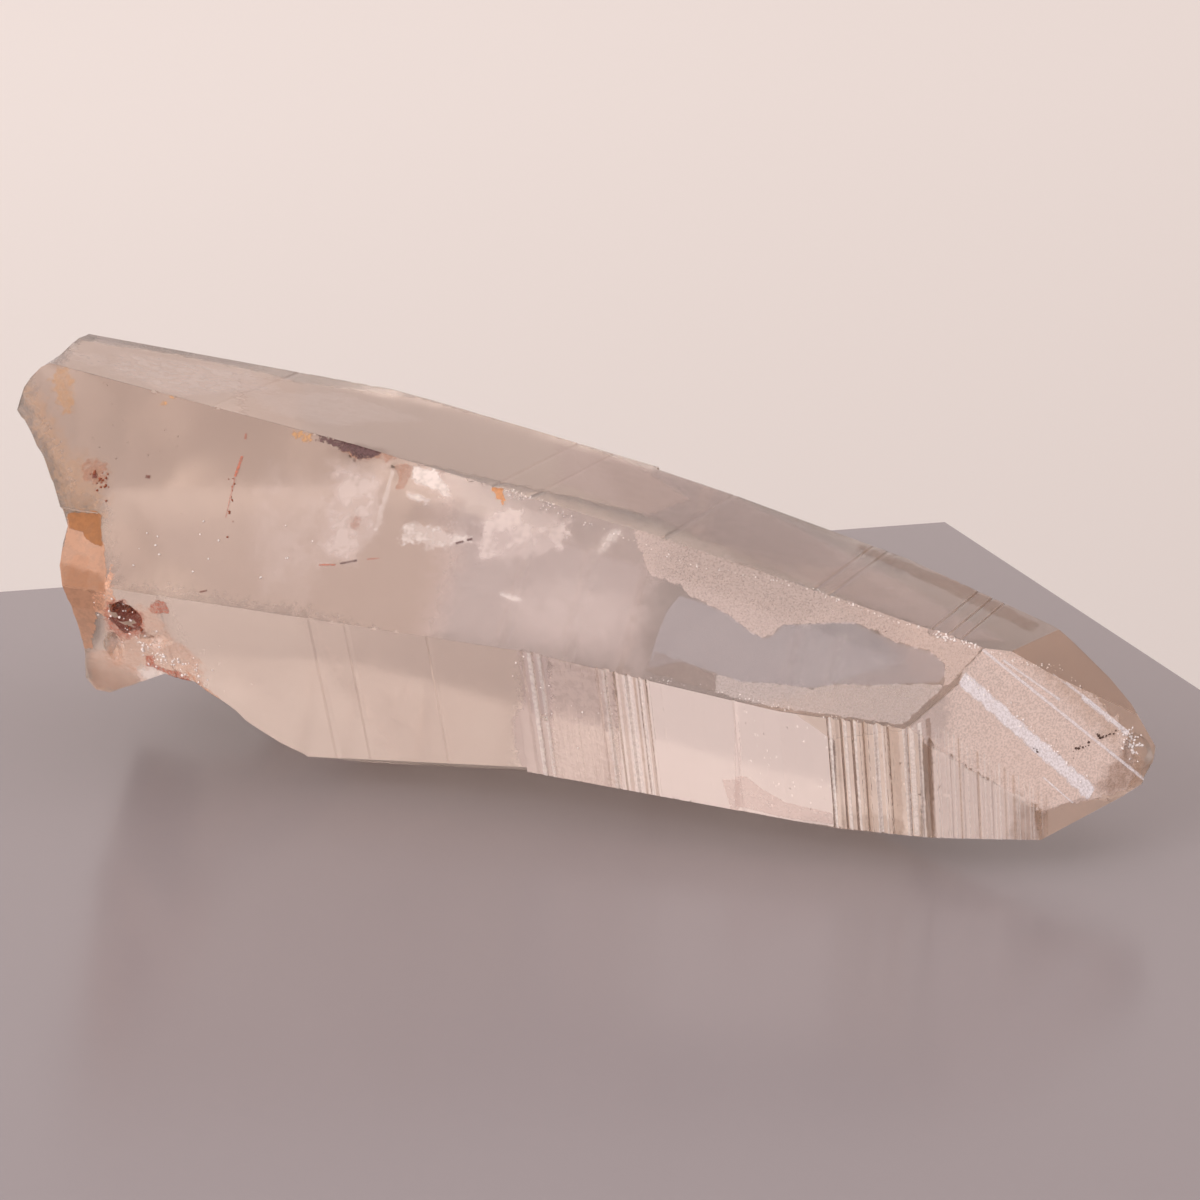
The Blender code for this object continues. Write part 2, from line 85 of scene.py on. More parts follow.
Face = namedtuple("Face", "roll taper distance")
FACES = {
    "upper_front": Face(55.3, 0.0, 21.46),
    "top_rear": Face(-2.8, 4.7, 16.82),
    "top_middle": Face(-2.9, 6.1, 16.22),
    "top_fore": Face(-2.7, 7.8, 16.48),
    "lower_front_rear": Face(117.0, 1.3, 18.02),
    "lower_front_middle": Face(115.5, -2.6, 18.35),
    "lower_front_fore": Face(115.5, 2.0, 20.46),
    "lower_front_neck": Face(115.4, 17.1, 29.53),
    "under_rear": Face(160.0, 7.3, 13.83),
    "under_middle": Face(160.0, 0.4, 14.53),
    "under_fore": Face(160.3, 4.8, 16.79),
    "under_neck": Face(164.0, 8.6, 18.49),
    "back_upper_rear": Face(299.9, -9.4, 23.67),
    "back_upper_middle": Face(299.6, 6.7, 15.73),
    "back_upper_fore": Face(300.0, 12.7, 15.00),
    "back_upper_neck": Face(300.7, 23.7, 20.07),
    "back_lower_rear": Face(238.0, 0.5, 18.50),
    "back_lower_fore": Face(238.0, 7.0, 17.50),
    "tip_front": Face(87.8, 36.4, 41.60),
    "tip_top": Face(2.2, 35.4, 36.20),
    "tip_low": Face(115.1, 40.0, 43.94),
    "tip_back_high": Face(325.9, 27.8, 27.21),
    "tip_back_middle": Face(325.0, 39.7, 35.57),
    "tip_back_low": Face(327.2, 49.1, 42.26),
    "tip_under": Face(201.4, 21.7, 20.49),
    "tip_nose": Face(243.1, 66.9, 51.02),
    "tip_chin": Face(212.5, 56.3, 46.57),
    "tip_bevel": Face(44.5, 49.3, 48.01),
    "resting_facet": Face(180.0, 4.23, 15.0),
}
FACE_NAMES = tuple(FACES)
BROKEN = len(FACE_NAMES)
SAME_PLANE = 0.9
STEEP_TILT = math.cos(math.radians(10.0))
TILT_LIMITS = {
    "lower_front": math.cos(math.radians(50.0)),
    "top": math.cos(math.radians(35.0)),
    "tip_front": math.cos(math.radians(30.0)),
}
CRISP_TILT = math.cos(math.radians(14.0))
FLAT_ENOUGH = math.cos(math.radians(0.05))
REFINE_ROUNDS = 11
TOP_FACES = ("top_rear", "top_middle", "top_fore")
LOWER_FACES = ("lower_front_rear", "lower_front_middle", "lower_front_fore", "lower_front_neck")

# Longest triangle side on each group of faces, and how rough its skin is.
Skin = namedtuple("Skin", "side roughness ripple grain")
SKINS = {
    "upper_front": Skin(1.20, 0.18, 0.012, 0.0),
    "top": Skin(1.40, 0.18, 0.012, 0.0),
    "lower_front": Skin(0.80, 0.18, 0.008, 0.0),
    "tip_front": Skin(0.40, 0.42, 0.010, 0.035),
    "tip_top": Skin(0.70, 0.08, 0.010, 0.0),
    "tip_low": Skin(0.60, 0.10, 0.010, 0.0),
    "hidden": Skin(1.60, 0.18, 0.015, 0.0),
    "broken": Skin(0.60, 0.45, 0.030, 0.05),
}
ON_THE_LINE = 0.02
RIPPLE_SIZE = 4.0
GRAIN_SIZE = 0.45

# Fine cross lines: first and last station, mean gap and depth, by face group.
Lines = namedtuple("Lines", "faces start end gap depth")
FINE_LINES = (
    Lines(LOWER_FACES, -30.0, -1.5, 1.30, 0.006),
    Lines(LOWER_FACES, -1.0, 14.0, 0.45, 0.022),
    Lines(LOWER_FACES, 14.0, 31.0, 1.60, 0.006),
    Lines(LOWER_FACES, 31.0, 41.5, 0.33, 0.030),
    Lines(LOWER_FACES, 41.5, 52.0, 0.42, 0.018),
    Lines(TOP_FACES, -45.0, 0.0, 2.40, 0.006),
    Lines(TOP_FACES, 0.0, 46.0, 1.30, 0.010),
)

# Colour of the skin by group, and a ramp: from station, to station, colour beyond it.
GROUP_TINTS = {
    "upper_front": ((0.94, 0.91, 0.88), (-30.0, 0.0, (0.97, 0.95, 0.94))),
    "top": ((0.98, 0.95, 0.93), (30.0, 46.0, (0.93, 0.88, 0.84))),
    "lower_front": ((0.975, 0.945, 0.925),),
    "tip_front": ((0.985, 0.95, 0.93),),
    "tip_top": ((0.87, 0.78, 0.71),),
    # tip_low is set lighter as painted light, where it shows the dark floor through it.
    "tip_low": ((0.95, 0.87, 0.81),),
    "hidden": ((0.97, 0.94, 0.91), (35.0, 55.0, (0.92, 0.86, 0.81))),
    "broken": ((0.92, 0.84, 0.78), (-42.0, -30.0, (0.97, 0.94, 0.92))),
}
CLOUD_SIZE = 9.0
BUMP_SIZE, BUMP_DEPTH, BUMP_STRENGTH = 0.30, 0.010, 0.35
CLOUD_TINT = (0.93, 0.90, 0.90)

# Thin films in the skin: face, tone, strength, softness and raggedness of the rim in
# millimetres, and the outline as (along the crystal, across the face).
Film = namedtuple("Film", "name face tone strength soft ragged outline")
FILMS = (
    Film("worn zone above the clear window", "upper_front", "rose frost", 0.5, 0.1, 0.35, (
        (7.1, 5.7), (14.5, 4.9), (24.9, 3.1), (35.1, 1.4), (40.2, 0.3), (44.1, -0.0), (42.2, -3.4),
        (41.0, -5.5), (40.7, -4.0), (40.4, -3.0), (38.8, -2.1), (35.4, -1.8), (33.3, -1.0),
        (31.1, -0.6), (29.4, -0.9), (26.4, -1.6), (24.5, -2.0), (23.8, -3.2), (23.1, -3.6),
        (21.6, -3.2), (19.1, -1.9), (16.0, -1.1), (14.9, -0.7), (13.7, 0.2), (10.6, 0.6),
    )),
    Film("worn band under the clear window", "upper_front", "grey frost", 0.55, 0.06, 0.25, (
        (19.5, -7.9), (20.6, -7.8), (22.0, -8.1), (24.8, -7.7), (28.8, -7.5), (30.9, -6.7),
        (34.5, -6.2), (38.8, -5.2), (40.9, -5.1), (38.0, -9.4), (34.3, -9.6), (27.1, -9.9),
        (23.7, -9.9), (19.8, -9.5),
    )),
    Film("clear window", "upper_front", "blue", 0.22, 0.1, 0.1, (
        (12.8, -8.4), (12.8, -5.5), (13.2, -2.5), (14.0, -0.9), (16.0, -1.1), (19.1, -1.9),
        (21.6, -3.2), (23.1, -3.6), (23.8, -3.2), (24.5, -2.0), (29.4, -0.9), (31.1, -0.6),
        (35.4, -1.8), (38.8, -2.1), (40.4, -3.0), (40.7, -4.0), (40.4, -4.8), (34.5, -6.2),
        (30.9, -6.7), (28.8, -7.5), (24.8, -7.7), (22.0, -8.1), (19.5, -7.7), (15.8, -7.2),
    )),
    Film("dim corner of the window", "upper_front", "shade", 0.34, 0.15, 0.3, (
        (12.6, -8.7), (13.0, -6.7), (15.8, -7.1), (18.5, -7.7), (19.4, -8.0), (19.7, -9.4),
        (16.3, -9.2),
    )),
    # Partly milky haze, partly painted shade: this beige layer makes the left part of the upper front face
    # darker.
    Film("haze and painted shade of the left part", "upper_front", "haze", 0.55, 1.6, 1.2, (
        (-60.5, 13.4), (-44.6, 12.6), (-25.9, 12.0), (-12.6, 10.2), (-8.4, -1.1), (-8.5, -11.4),
        (-22.7, -9.6), (-42.9, -10.2), (-45.2, -5.3), (-46.5, -2.3), (-50.0, -1.8), (-57.3, 6.8),
    )),
    Film("haze of the middle", "upper_front", "haze rose", 0.3, 2.2, 1.2, (
        (-15.6, 9.7), (-4.9, 8.9), (7.8, 7.3), (11.8, 3.9), (11.3, -1.8), (12.1, -8.7), (0.1, -9.3),
        (-10.1, -9.6), (-10.3, -1.4),
    )),
    Film("milk column", "upper_front", "milk", 0.42, 1.2, 0.9, (
        (-23.6, 6.6), (-18.7, 6.6), (-18.1, 3.0), (-17.8, -0.1), (-19.3, -3.0), (-22.6, -3.5),
        (-23.2, 1.6),
    )),
    Film("milk cloud far left", "upper_front", "milk", 0.2, 2.0, 1.2, (
        (-30.1, 4.7), (-23.7, 4.7), (-22.4, -3.5), (-23.2, -7.8), (-27.0, -7.4), (-30.2, -0.6),
    )),
    Film("white flake", "upper_front", "white", 0.6, 0.25, 0.6, (
        (-15.7, 7.4), (-13.4, 7.5), (-11.4, 5.9), (-11.3, 4.9), (-13.0, 5.4), (-15.5, 6.2),
    )),
    Film("white flake small", "upper_front", "white", 0.5, 0.2, 0.4, (
        (-15.7, 4.7), (-14.1, 4.8), (-12.9, 4.4), (-13.4, 3.9), (-15.0, 4.2),
    )),
    Film("white sheet", "upper_front", "white", 0.45, 0.3, 0.7, (
        (-15.2, -0.6), (-14.9, 1.5), (-12.8, 1.9), (-10.1, 1.4), (-7.7, 1.6), (-8.0, 1.0), (-9.7, 0.0),
        (-11.7, -0.3), (-13.2, -0.0),
    )),
    Film("white fan", "upper_front", "milk", 0.5, 0.45, 0.9, (
        (-7.3, 3.0), (-6.4, 4.2), (-4.1, 5.2), (-1.0, 4.8), (1.3, 4.4), (2.0, 2.6), (-0.0, 1.2),
        (-4.5, -0.6), (-6.6, -0.4),
    )),
    Film("white streak", "upper_front", "white", 0.4, 0.2, 0.3, (
        (-4.2, -3.7), (-3.0, -3.6), (-1.2, -3.8), (-1.3, -4.2), (-3.4, -4.0),
    )),
    Film("white streak high", "upper_front", "white", 0.35, 0.3, 0.5, (
        (4.9, 2.0), (5.2, 3.8), (6.4, 4.8), (6.7, 4.3), (6.0, 2.9),
    )),
    Film("milk low", "upper_front", "milk", 0.24, 1.5, 1.0, (
        (-3.3, -4.3), (2.0, -1.3), (8.1, -1.3), (10.8, -3.9), (7.6, -7.0), (-0.5, -6.9),
    )),
    Film("grey patch", "upper_front", "shade", 0.16, 0.6, 0.8, (
        (-14.7, 3.8), (-11.0, 4.7), (-7.2, 4.5), (-7.4, 3.0), (-10.3, 2.1), (-15.1, 1.9),
    )),
    Film("brown quad", "upper_front", "rust", 0.5, 0.15, 0.3, (
        (-17.7, 7.4), (-15.7, 7.5), (-15.6, 6.4), (-16.0, 5.0), (-16.8, 4.9), (-16.8, 6.3),
    )),
    Film("pale crack", "upper_front", "white", 0.3, 0.12, 0.2, (
        (-17.8, 6.7), (-17.4, 6.8), (-17.3, 0.4), (-17.8, 0.3),
    )),
    Film("dark stain", "upper_front", "umber", 0.95, 0.1, 0.75, (
        (-26.5, 9.1), (-24.3, 9.0), (-22.4, 8.9), (-19.1, 9.0), (-19.0, 8.4), (-20.1, 7.7),
        (-21.5, 7.4), (-23.0, 7.9), (-25.0, 8.3),
    )),
    Film("dark stain core", "upper_front", "umber", 1.0, 0.1, 0.55, (
        (-23.4, 8.8), (-19.6, 8.9), (-19.8, 8.0), (-21.4, 7.6),
    )),
    Film("rust under stain", "upper_front", "rust", 0.55, 0.2, 0.6, (
        (-24.2, 8.3), (-19.0, 8.7), (-17.4, 7.9), (-19.2, 7.6), (-22.1, 7.2),
    )),
    Film("ochre by stain", "upper_front", "ochre", 0.6, 0.15, 0.5, (
        (-29.2, 9.0), (-27.1, 9.1), (-26.9, 8.0), (-28.3, 8.2),
    )),
    Film("ochre speck", "upper_front", "ochre", 0.7, 0.1, 0.25, (
        (-43.7, 9.9), (-43.1, 10.0), (-43.0, 9.6), (-43.6, 9.5),
    )),
    Film("ochre speck 2", "upper_front", "ochre", 0.7, 0.1, 0.2, (
        (-42.9, 10.7), (-42.3, 10.8), (-42.1, 10.4), (-42.8, 10.3),
    )),
    Film("orange spot", "upper_front", "orange", 0.75, 0.08, 0.45, (
        (-7.2, 6.6), (-6.2, 6.7), (-5.6, 5.9), (-5.3, 5.4), (-5.7, 5.2), (-6.5, 5.7),
    )),
    Film("tan spot", "upper_front", "rust", 0.28, 0.25, 0.35, (
        (-20.5, 1.3), (-19.6, 1.5), (-19.2, 0.2), (-20.0, 0.1),
    )),
    Film("base wash", "upper_front", "ochre", 0.22, 1.0, 1.2, (
        (-58.7, 9.3), (-56.7, 8.5), (-54.6, 6.1), (-51.0, 2.9), (-47.5, 2.4), (-46.3, -2.7),
        (-50.3, -2.9), (-55.2, 3.8),
    )),
    Film("base brown", "upper_front", "rust", 0.42, 0.25, 0.9, (
        (-49.7, 2.6), (-47.3, 2.6), (-46.9, 0.7), (-47.9, 0.1), (-49.3, 0.7),
    )),
    Film("base corner ochre", "upper_front", "ochre", 0.4, 0.5, 1.0, (
        (-55.9, 10.3), (-55.1, 12.0), (-53.4, 10.1), (-52.6, 7.0), (-54.0, 7.3),
    )),
    Film("hollow deep", "upper_front", "amber", 1.0, 0.06, 0.15, (
        (-50.1, -2.9), (-46.7, -2.5), (-46.2, -2.9), (-45.1, -5.8), (-46.6, -5.7), (-48.0, -4.7),
        (-49.4, -4.5),
    )),
    Film("hollow lower shade", "upper_front", "amber", 0.3, 0.3, 0.3, (
        (-49.3, -8.1), (-44.5, -8.8), (-43.5, -10.5), (-44.1, -11.4), (-47.8, -12.1),
    )),
    Film("hollow", "upper_front", "copper", 0.8, 0.1, 0.2, (
        (-50.1, -2.9), (-46.7, -2.5), (-45.8, -4.3), (-44.7, -6.4), (-43.7, -8.7), (-43.7, -10.3),
        (-44.1, -11.4), (-47.8, -12.1), (-49.5, -8.3), (-49.5, -4.9),
    )),
    Film("copper tail", "lower_front_rear", "copper", 0.8, 0.1, 0.4, (
        (-48.2, 17.0), (-45.3, 12.5), (-46.1, 8.7), (-47.2, 5.3), (-47.9, 4.8), (-48.7, 11.5),
    )),
    Film("orange lump", "lower_front_rear", "peach", 0.75, 0.15, 0.5, (
        (-45.6, 12.8), (-43.8, 15.2), (-43.1, 13.8), (-43.2, 11.8), (-44.5, 10.0), (-45.7, 10.5),
    )),
    Film("pit red", "lower_front_rear", "rust red", 0.6, 0.25, 0.6, (
        (-44.2, 12.2), (-42.2, 12.9), (-40.3, 11.1), (-40.8, 8.5), (-43.7, 7.1), (-44.9, 8.8),
    )),
    Film("pit dark", "lower_front_rear", "umber red", 0.85, 0.12, 0.4, (
        (-43.7, 11.5), (-42.4, 12.8), (-41.7, 11.3), (-40.7, 10.7), (-41.0, 9.2), (-43.1, 8.3),
        (-44.3, 9.7),
    )),
    Film("pit stone", "lower_front_rear", "peach", 0.85, 0.1, 0.2, (
        (-42.6, 10.5), (-41.8, 10.6), (-42.0, 9.4), (-42.8, 9.2),
    )),
    Film("red fleck", "lower_front_rear", "rust red", 0.7, 0.12, 0.45, (
        (-39.3, 12.9), (-38.3, 13.6), (-37.5, 13.4), (-37.3, 12.1), (-38.5, 11.7), (-39.5, 12.0),
    )),
    Film("red vein", "lower_front_rear", "rust red", 0.75, 0.12, 0.35, (
        (-41.2, 5.4), (-40.3, 5.8), (-40.3, 4.5), (-39.4, 4.1), (-38.0, 4.0), (-37.0, 3.4),
        (-36.3, 2.7), (-37.0, 2.4), (-38.8, 3.2), (-41.3, 4.2),
    )),
    Film("peach vein", "lower_front_rear", "peach", 0.6, 0.15, 0.4, (
        (-37.1, 4.4), (-36.1, 3.5), (-34.9, 2.1), (-34.0, 1.1), (-34.5, 0.8), (-36.4, 2.3),
    )),
    Film("peach wash", "lower_front_rear", "peach", 0.35, 0.5, 0.9, (
        (-44.7, 11.0), (-39.4, 12.6), (-37.5, 8.4), (-35.2, 6.1), (-35.4, 1.9), (-40.0, 4.0),
        (-45.6, 3.2),
    )),
    Film("white crush", "lower_front_rear", "white", 0.6, 0.15, 0.7, (
        (-42.5, 3.5), (-40.9, 4.9), (-39.3, 3.9), (-40.2, 2.6), (-42.4, 1.6),
    )),
    Film("white crush 2", "lower_front_rear", "white", 0.5, 0.15, 0.6, (
        (-45.1, 6.8), (-43.8, 7.0), (-43.8, 5.7), (-45.0, 5.5),
    )),
    Film("white chip", "lower_front_rear", "white", 0.8, 0.1, 0.3, (
        (-40.4, 7.7), (-39.2, 7.9), (-39.4, 6.3), (-40.3, 6.0),
    )),
    Film("base pink", "lower_front_rear", "peach", 0.3, 0.5, 0.8, (
        (-47.9, 4.8), (-45.2, 5.4), (-41.5, 2.0), (-44.0, 0.1), (-48.2, -0.8),
    )),
    # Partly milky haze, partly painted light: pale layers that lighten a dark band on the lower front face
    # where the floor shows through.
    Film("haze and painted light of the lower rear", "lower_front_rear", "pale haze and painted light", 0.42, 1.6, 1.0, (
        (-38.5, 16.9), (-22.6, 17.5), (-10.3, 16.9), (0.9, 17.0), (-3.0, -6.2), (-26.8, -8.2),
        (-35.7, -2.3),
    )),
    Film("haze and painted light of the lower middle", "lower_front_middle", "pale haze and painted light", 0.3, 1.6, 1.0, (
        (-22.4, 15.3), (-9.5, 15.7), (2.2, 16.9), (-0.8, -6.1), (-12.7, -8.2),
    )),
    Film("white wall of C1", "lower_front_middle", "haze rose", 0.45, 0.3, 0.4, (
        (0.7, 14.4), (3.6, 14.7), (3.7, 9.9), (2.4, -2.4), (-1.1, -2.2), (-1.2, 4.3), (0.6, 7.7),
    )),
    Film("rose of C1", "lower_front_middle", "rose", 0.45, 0.5, 0.5, (
        (4.0, 16.9), (10.6, 17.4), (10.3, 7.8), (9.8, -1.9), (2.6, -2.4), (3.4, 8.5),
    )),
    Film("cream of C1", "lower_front_middle", "cream", 0.72, 0.2, 0.2, (
        (10.6, 17.4), (14.5, 17.1), (19.4, 15.9), (23.4, 16.0), (22.1, -1.0), (12.5, -1.7), (9.8, -1.9),
        (10.3, 7.8),
    )),
    Film("cream of C2", "lower_front_fore", "cream", 0.72, 0.1, 0.1, (
        (21.4, 16.3), (26.3, 15.5), (28.1, 13.2), (30.5, 11.1), (30.0, -0.5), (20.1, -0.8),
    )),
    Film("rose patch", "lower_front_middle", "rose", 0.38, 0.08, 0.1, (
        (20.6, 2.9), (22.0, 3.3), (22.4, 3.2), (22.1, -1.0), (21.2, -0.9),
    )),
    Film("rose patch 2", "lower_front_fore", "rose", 0.38, 0.08, 0.1, (
        (20.4, 3.7), (21.6, 4.0), (23.1, 2.8), (25.4, 1.7), (29.9, 1.3), (30.1, -0.2), (25.3, -0.4),
        (20.1, -0.3),
    )),
    Film("tan triangle", "lower_front_fore", "tan light", 0.75, 0.06, 0.1, (
        (24.7, 14.8), (26.3, 14.6), (27.9, 12.9), (30.5, 11.0), (31.9, 10.7), (34.9, 11.7),
        (38.8, 13.5), (38.3, 15.5), (33.4, 15.8), (29.3, 15.7),
    )),
    Film("stripe ground", "lower_front_fore", "tan light", 0.8, 0.15, 0.15, (
        (30.8, 11.2), (39.2, 14.2), (38.4, -0.2), (30.3, -0.5),
    )),
    Film("fine stripe ground", "lower_front_neck", "cream", 0.66, 0.2, 0.2, (
        (33.3, 11.5), (37.6, 7.5), (42.1, 4.1), (43.0, -1.4), (33.1, -0.5),
    )),
    Film("brown foot", "lower_front_fore", "brown", 0.16, 0.3, 0.4, (
        (30.9, 0.8), (33.7, 2.2), (37.0, 1.6), (37.0, -0.3), (30.8, -0.7),
    )),
    # Painted light: a pale layer that lightens the tip's low facet, which shows the dark floor through it.
    Film("pale lower facet", "tip_low", "pale haze and painted light", 0.5, 0.5, 0.6, (
        (27.6, -2.4), (28.6, 3.3), (33.8, 3.2), (38.4, 1.3), (35.8, -2.1),
    )),
    Film("tan end", "lower_front_neck", "brown", 0.3, 0.6, 0.6, (
        (41.0, 4.2), (43.6, 2.5), (43.1, -1.4), (40.2, -1.3),
    )),
    Film("frost of the tip", "tip_front", "tip frost", 0.74, 0.1, 0.6, (
        (15.6, 3.8), (20.9, 9.5), (23.3, 12.0), (28.5, 10.3), (33.3, 7.7), (38.2, 3.9), (40.7, -0.0),
        (40.3, -3.0), (38.3, -3.6), (33.2, -4.4), (31.8, -5.0), (28.0, -2.8), (22.7, -0.3), (19.0, 1.7),
    )),
    Film("white corner of the tip", "tip_front", "grey frost", 0.45, 0.8, 0.8, (
        (16.6, 3.6), (20.4, 7.0), (21.2, 4.6), (21.0, 1.7), (19.0, 2.0),
    )),
    Film("brown corner of the tip", "tip_front", "brown", 0.42, 0.9, 0.8, (
        (37.0, -2.9), (39.5, 1.5), (41.3, -0.5), (40.6, -3.0), (38.4, -3.7),
    )),
    Film("brown tip top", "tip_front", "tan", 0.35, 1.0, 0.8, (
        (26.4, 10.8), (33.3, 7.7), (38.8, 3.1), (38.5, 1.5), (31.8, 6.9),
    )),
    # Partly milky haze, partly painted light: pale layers that make the top faces lighter, as if lit from
    # above.
    Film("top haze", "top_rear", "pale haze and painted light", 0.62, 0.8, 0.8, (
        (-60.8, -0.5), (-51.1, 3.3), (-41.4, 4.6), (-37.5, 3.6), (-29.1, -14.7), (-42.9, -15.7),
        (-55.8, -16.5),
    )),
    Film("top haze middle", "top_middle", "pale haze and painted light", 0.5, 0.8, 1.0, (
        (-43.9, 1.5), (-27.0, 9.6), (-13.6, 10.0), (-1.4, 6.8), (6.6, -0.5), (5.6, -9.6), (-9.0, -12.5),
        (-25.8, -15.8), (-35.4, -16.2),
    )),
    Film("top haze fore", "top_fore", "haze rose", 0.3, 1.0, 1.0, (
        (-10.5, 6.2), (4.5, 7.2), (24.9, -3.2), (42.3, -14.8), (39.5, -18.6), (22.6, -15.5),
        (4.2, -9.8), (-5.2, -7.4),
    )),
    Film("top left milk", "top_rear", "white", 0.3, 0.9, 0.8, (
        (-59.1, -6.0), (-56.5, -4.3), (-53.8, -7.5), (-55.4, -9.8),
    )),
    Film("top milk 1", "top_rear", "white", 0.34, 1.2, 1.2, (
        (-55.8, -1.3), (-43.2, 3.5), (-37.5, -1.3), (-43.8, -11.6), (-52.6, -9.7),
    )),
    Film("top milk 2", "top_middle", "white", 0.26, 1.2, 1.2, (
        (-39.7, -4.8), (-33.4, 3.6), (-23.5, 1.4), (-28.8, -9.3), (-35.1, -9.9),
    )),
    Film("top rim brown", "top_fore", "brown", 0.3, 0.25, 0.5, (
        (23.4, 1.8), (34.4, -0.6), (44.1, -6.2), (43.9, -9.4), (34.5, -4.6), (24.1, -0.6),
    )),
    Film("top shade 1", "top_fore", "shade", 0.1, 1.6, 1.0, (
        (-5.7, 5.2), (4.5, 7.2), (17.4, 0.6), (31.6, -12.0), (27.6, -15.3), (12.0, -14.3), (1.4, -7.9),
    )),
)

# Thin films that are straight lines: both ends, width, tone and strength.
Streak = namedtuple("Streak", "face start end width tone strength")
STREAKS = (
    # The wide frost streaks are partly painted light: frost on steps of the tip, painted white also for the
    # light they catch from above.
    Streak("tip_front", (22.07, 8.10), (36.35, -3.37), 1.24, "frost", 0.80),
    Streak("tip_front", (23.99, 10.66), (41.77, -2.20), 0.26, "frost", 0.60),
    Streak("tip_front", (30.60, 9.00), (36.60, 4.80), 0.50, "frost", 0.55),
    Streak("tip_front", (34.60, 6.20), (40.60, 1.90), 0.90, "frost", 0.70),
    Streak("tip_front", (31.12, -1.55), (34.45, -4.16), 0.14, "frost", 0.70),
    Streak("tip_front", (26.08, 9.69), (32.21, 5.77), 0.20, "frost", 0.55),
    Streak("upper_front", (-33.4, 5.6), (-33.5, 3.4), 0.28, "rust red", 0.80),
    Streak("upper_front", (-33.5, 3.3), (-33.2, -0.9), 0.14, "rust red", 0.45),
    Streak("upper_front", (-33.7, 8.0), (-33.6, 7.4), 0.22, "rust red", 0.50),
    Streak("upper_front", (-22.3, -4.0), (-20.6, -3.7), 0.16, "rust red", 0.70),
    Streak("upper_front", (-20.2, -3.5), (-18.6, -2.9), 0.18, "umber", 0.75),
    Streak("upper_front", (-17.6, -2.6), (-16.4, -2.3), 0.12, "rust red", 0.50),
    Streak("upper_front", (-9.2, 0.5), (-8.5, 0.8), 0.20, "umber", 1.00),
    Streak("upper_front", (-8.2, 1.0), (-7.7, 1.2), 0.20, "umber", 1.00),
    Streak("upper_front", (-48.4, 1.0), (-47.9, 1.1), 0.45, "umber red", 0.80),
    Streak("upper_front", (-42.8, 1.9), (-42.3, 1.9), 0.35, "umber red", 0.80),
    Streak("upper_front", (-33.6, -8.8), (-32.9, -8.5), 0.16, "umber red", 0.70),
)

# Small grains scattered along a line on a face: face, kind, count, size and spread in millimetres.
Scatter = namedtuple("Scatter", "face kind count size spread path")
SCATTERS = (
    # The glints are small white chips whose white colour paints the sparkle of light along the edges.
    Scatter("upper_front", "glint", 50, 0.22, 0.35, ((-1.7, 5.8), (13.4, 2.4), (27.3, 2.0))),
    Scatter("upper_front", "glint", 70, 0.25, 0.35, (
        (27.3, 1.8), (33.8, 0.4), (40.1, -0.4), (43.1, -1.0),
    )),
    Scatter("upper_front", "glint", 18, 0.34, 0.5, ((39.0, -0.3), (40.9, -0.6))),
    Scatter("upper_front", "glint", 50, 0.20, 0.35, (
        (13.3, -9.4), (17.7, -9.1), (26.5, -9.9), (37.8, -9.8),
    )),
    Scatter("upper_front", "glint", 40, 0.28, 0.7, ((-5.8, 6.4), (-3.2, 6.3), (-0.4, 5.7))),
    Scatter("tip_front", "glint", 50, 0.24, 0.35, ((24.0, 10.6), (33.1, 8.1), (38.3, 3.1))),
    Scatter("tip_front", "glint", 50, 0.44, 1.0, ((38.8, 2.5), (40.6, 1.5), (40.8, -0.2))),
    Scatter("tip_front", "glint", 60, 0.32, 0.8, ((22.2, 8.4), (29.3, 3.1), (36.5, -2.7))),
    Scatter("lower_front_rear", "glint", 90, 0.41, 2.2, (
        (-44.3, 12.4), (-41.5, 7.6), (-39.7, 5.2), (-35.0, 4.1),
    )),
    Scatter("upper_front", "glint", 16, 0.34, 4.0, ((-45.6, -5.3), (-31.5, -5.0), (-22.2, -0.3))),
    Scatter("lower_front_middle", "glint", 16, 0.3, 4.0, ((0.7, 12.9), (4.1, 6.0), (12.9, 11.1))),
    Scatter("tip_front", "speck", 8, 0.38, 0.15, ((29.9, 1.3), (30.3, 0.9))),
    Scatter("tip_front", "speck", 12, 0.34, 0.25, ((34.1, 0.9), (35.7, 1.4))),
    Scatter("tip_front", "speck", 16, 0.34, 0.3, ((36.2, 2.3), (37.1, 2.0), (38.2, 2.6))),
    Scatter("tip_front", "speck", 6, 0.27, 1.2, ((31.5, 1.7), (33.6, 0.1))),
    Scatter("upper_front", "rust speck", 18, 0.46, 1.2, ((-48.4, 1.9), (-47.1, 0.8), (-46.0, -1.1))),
    Scatter("upper_front", "rust speck", 12, 0.41, 0.5, ((-33.8, 3.2), (-33.0, -0.0), (-32.5, -3.1))),
    Scatter("lower_front_rear", "rust speck", 26, 0.45, 1.2, ((-43.3, 12.2), (-41.1, 9.3))),
)
GRAIN_TONES = {
    # glint: white chips that paint sparkles of light.
    "glint": ((0.95, 0.91, 0.90), 0.25),
    "speck": ((0.28, 0.18, 0.14), 0.60),
    "rust speck": ((0.55, 0.28, 0.17), 0.60),
}
GRAIN_SINK = 0.25
GRAIN_REACH = 5.0

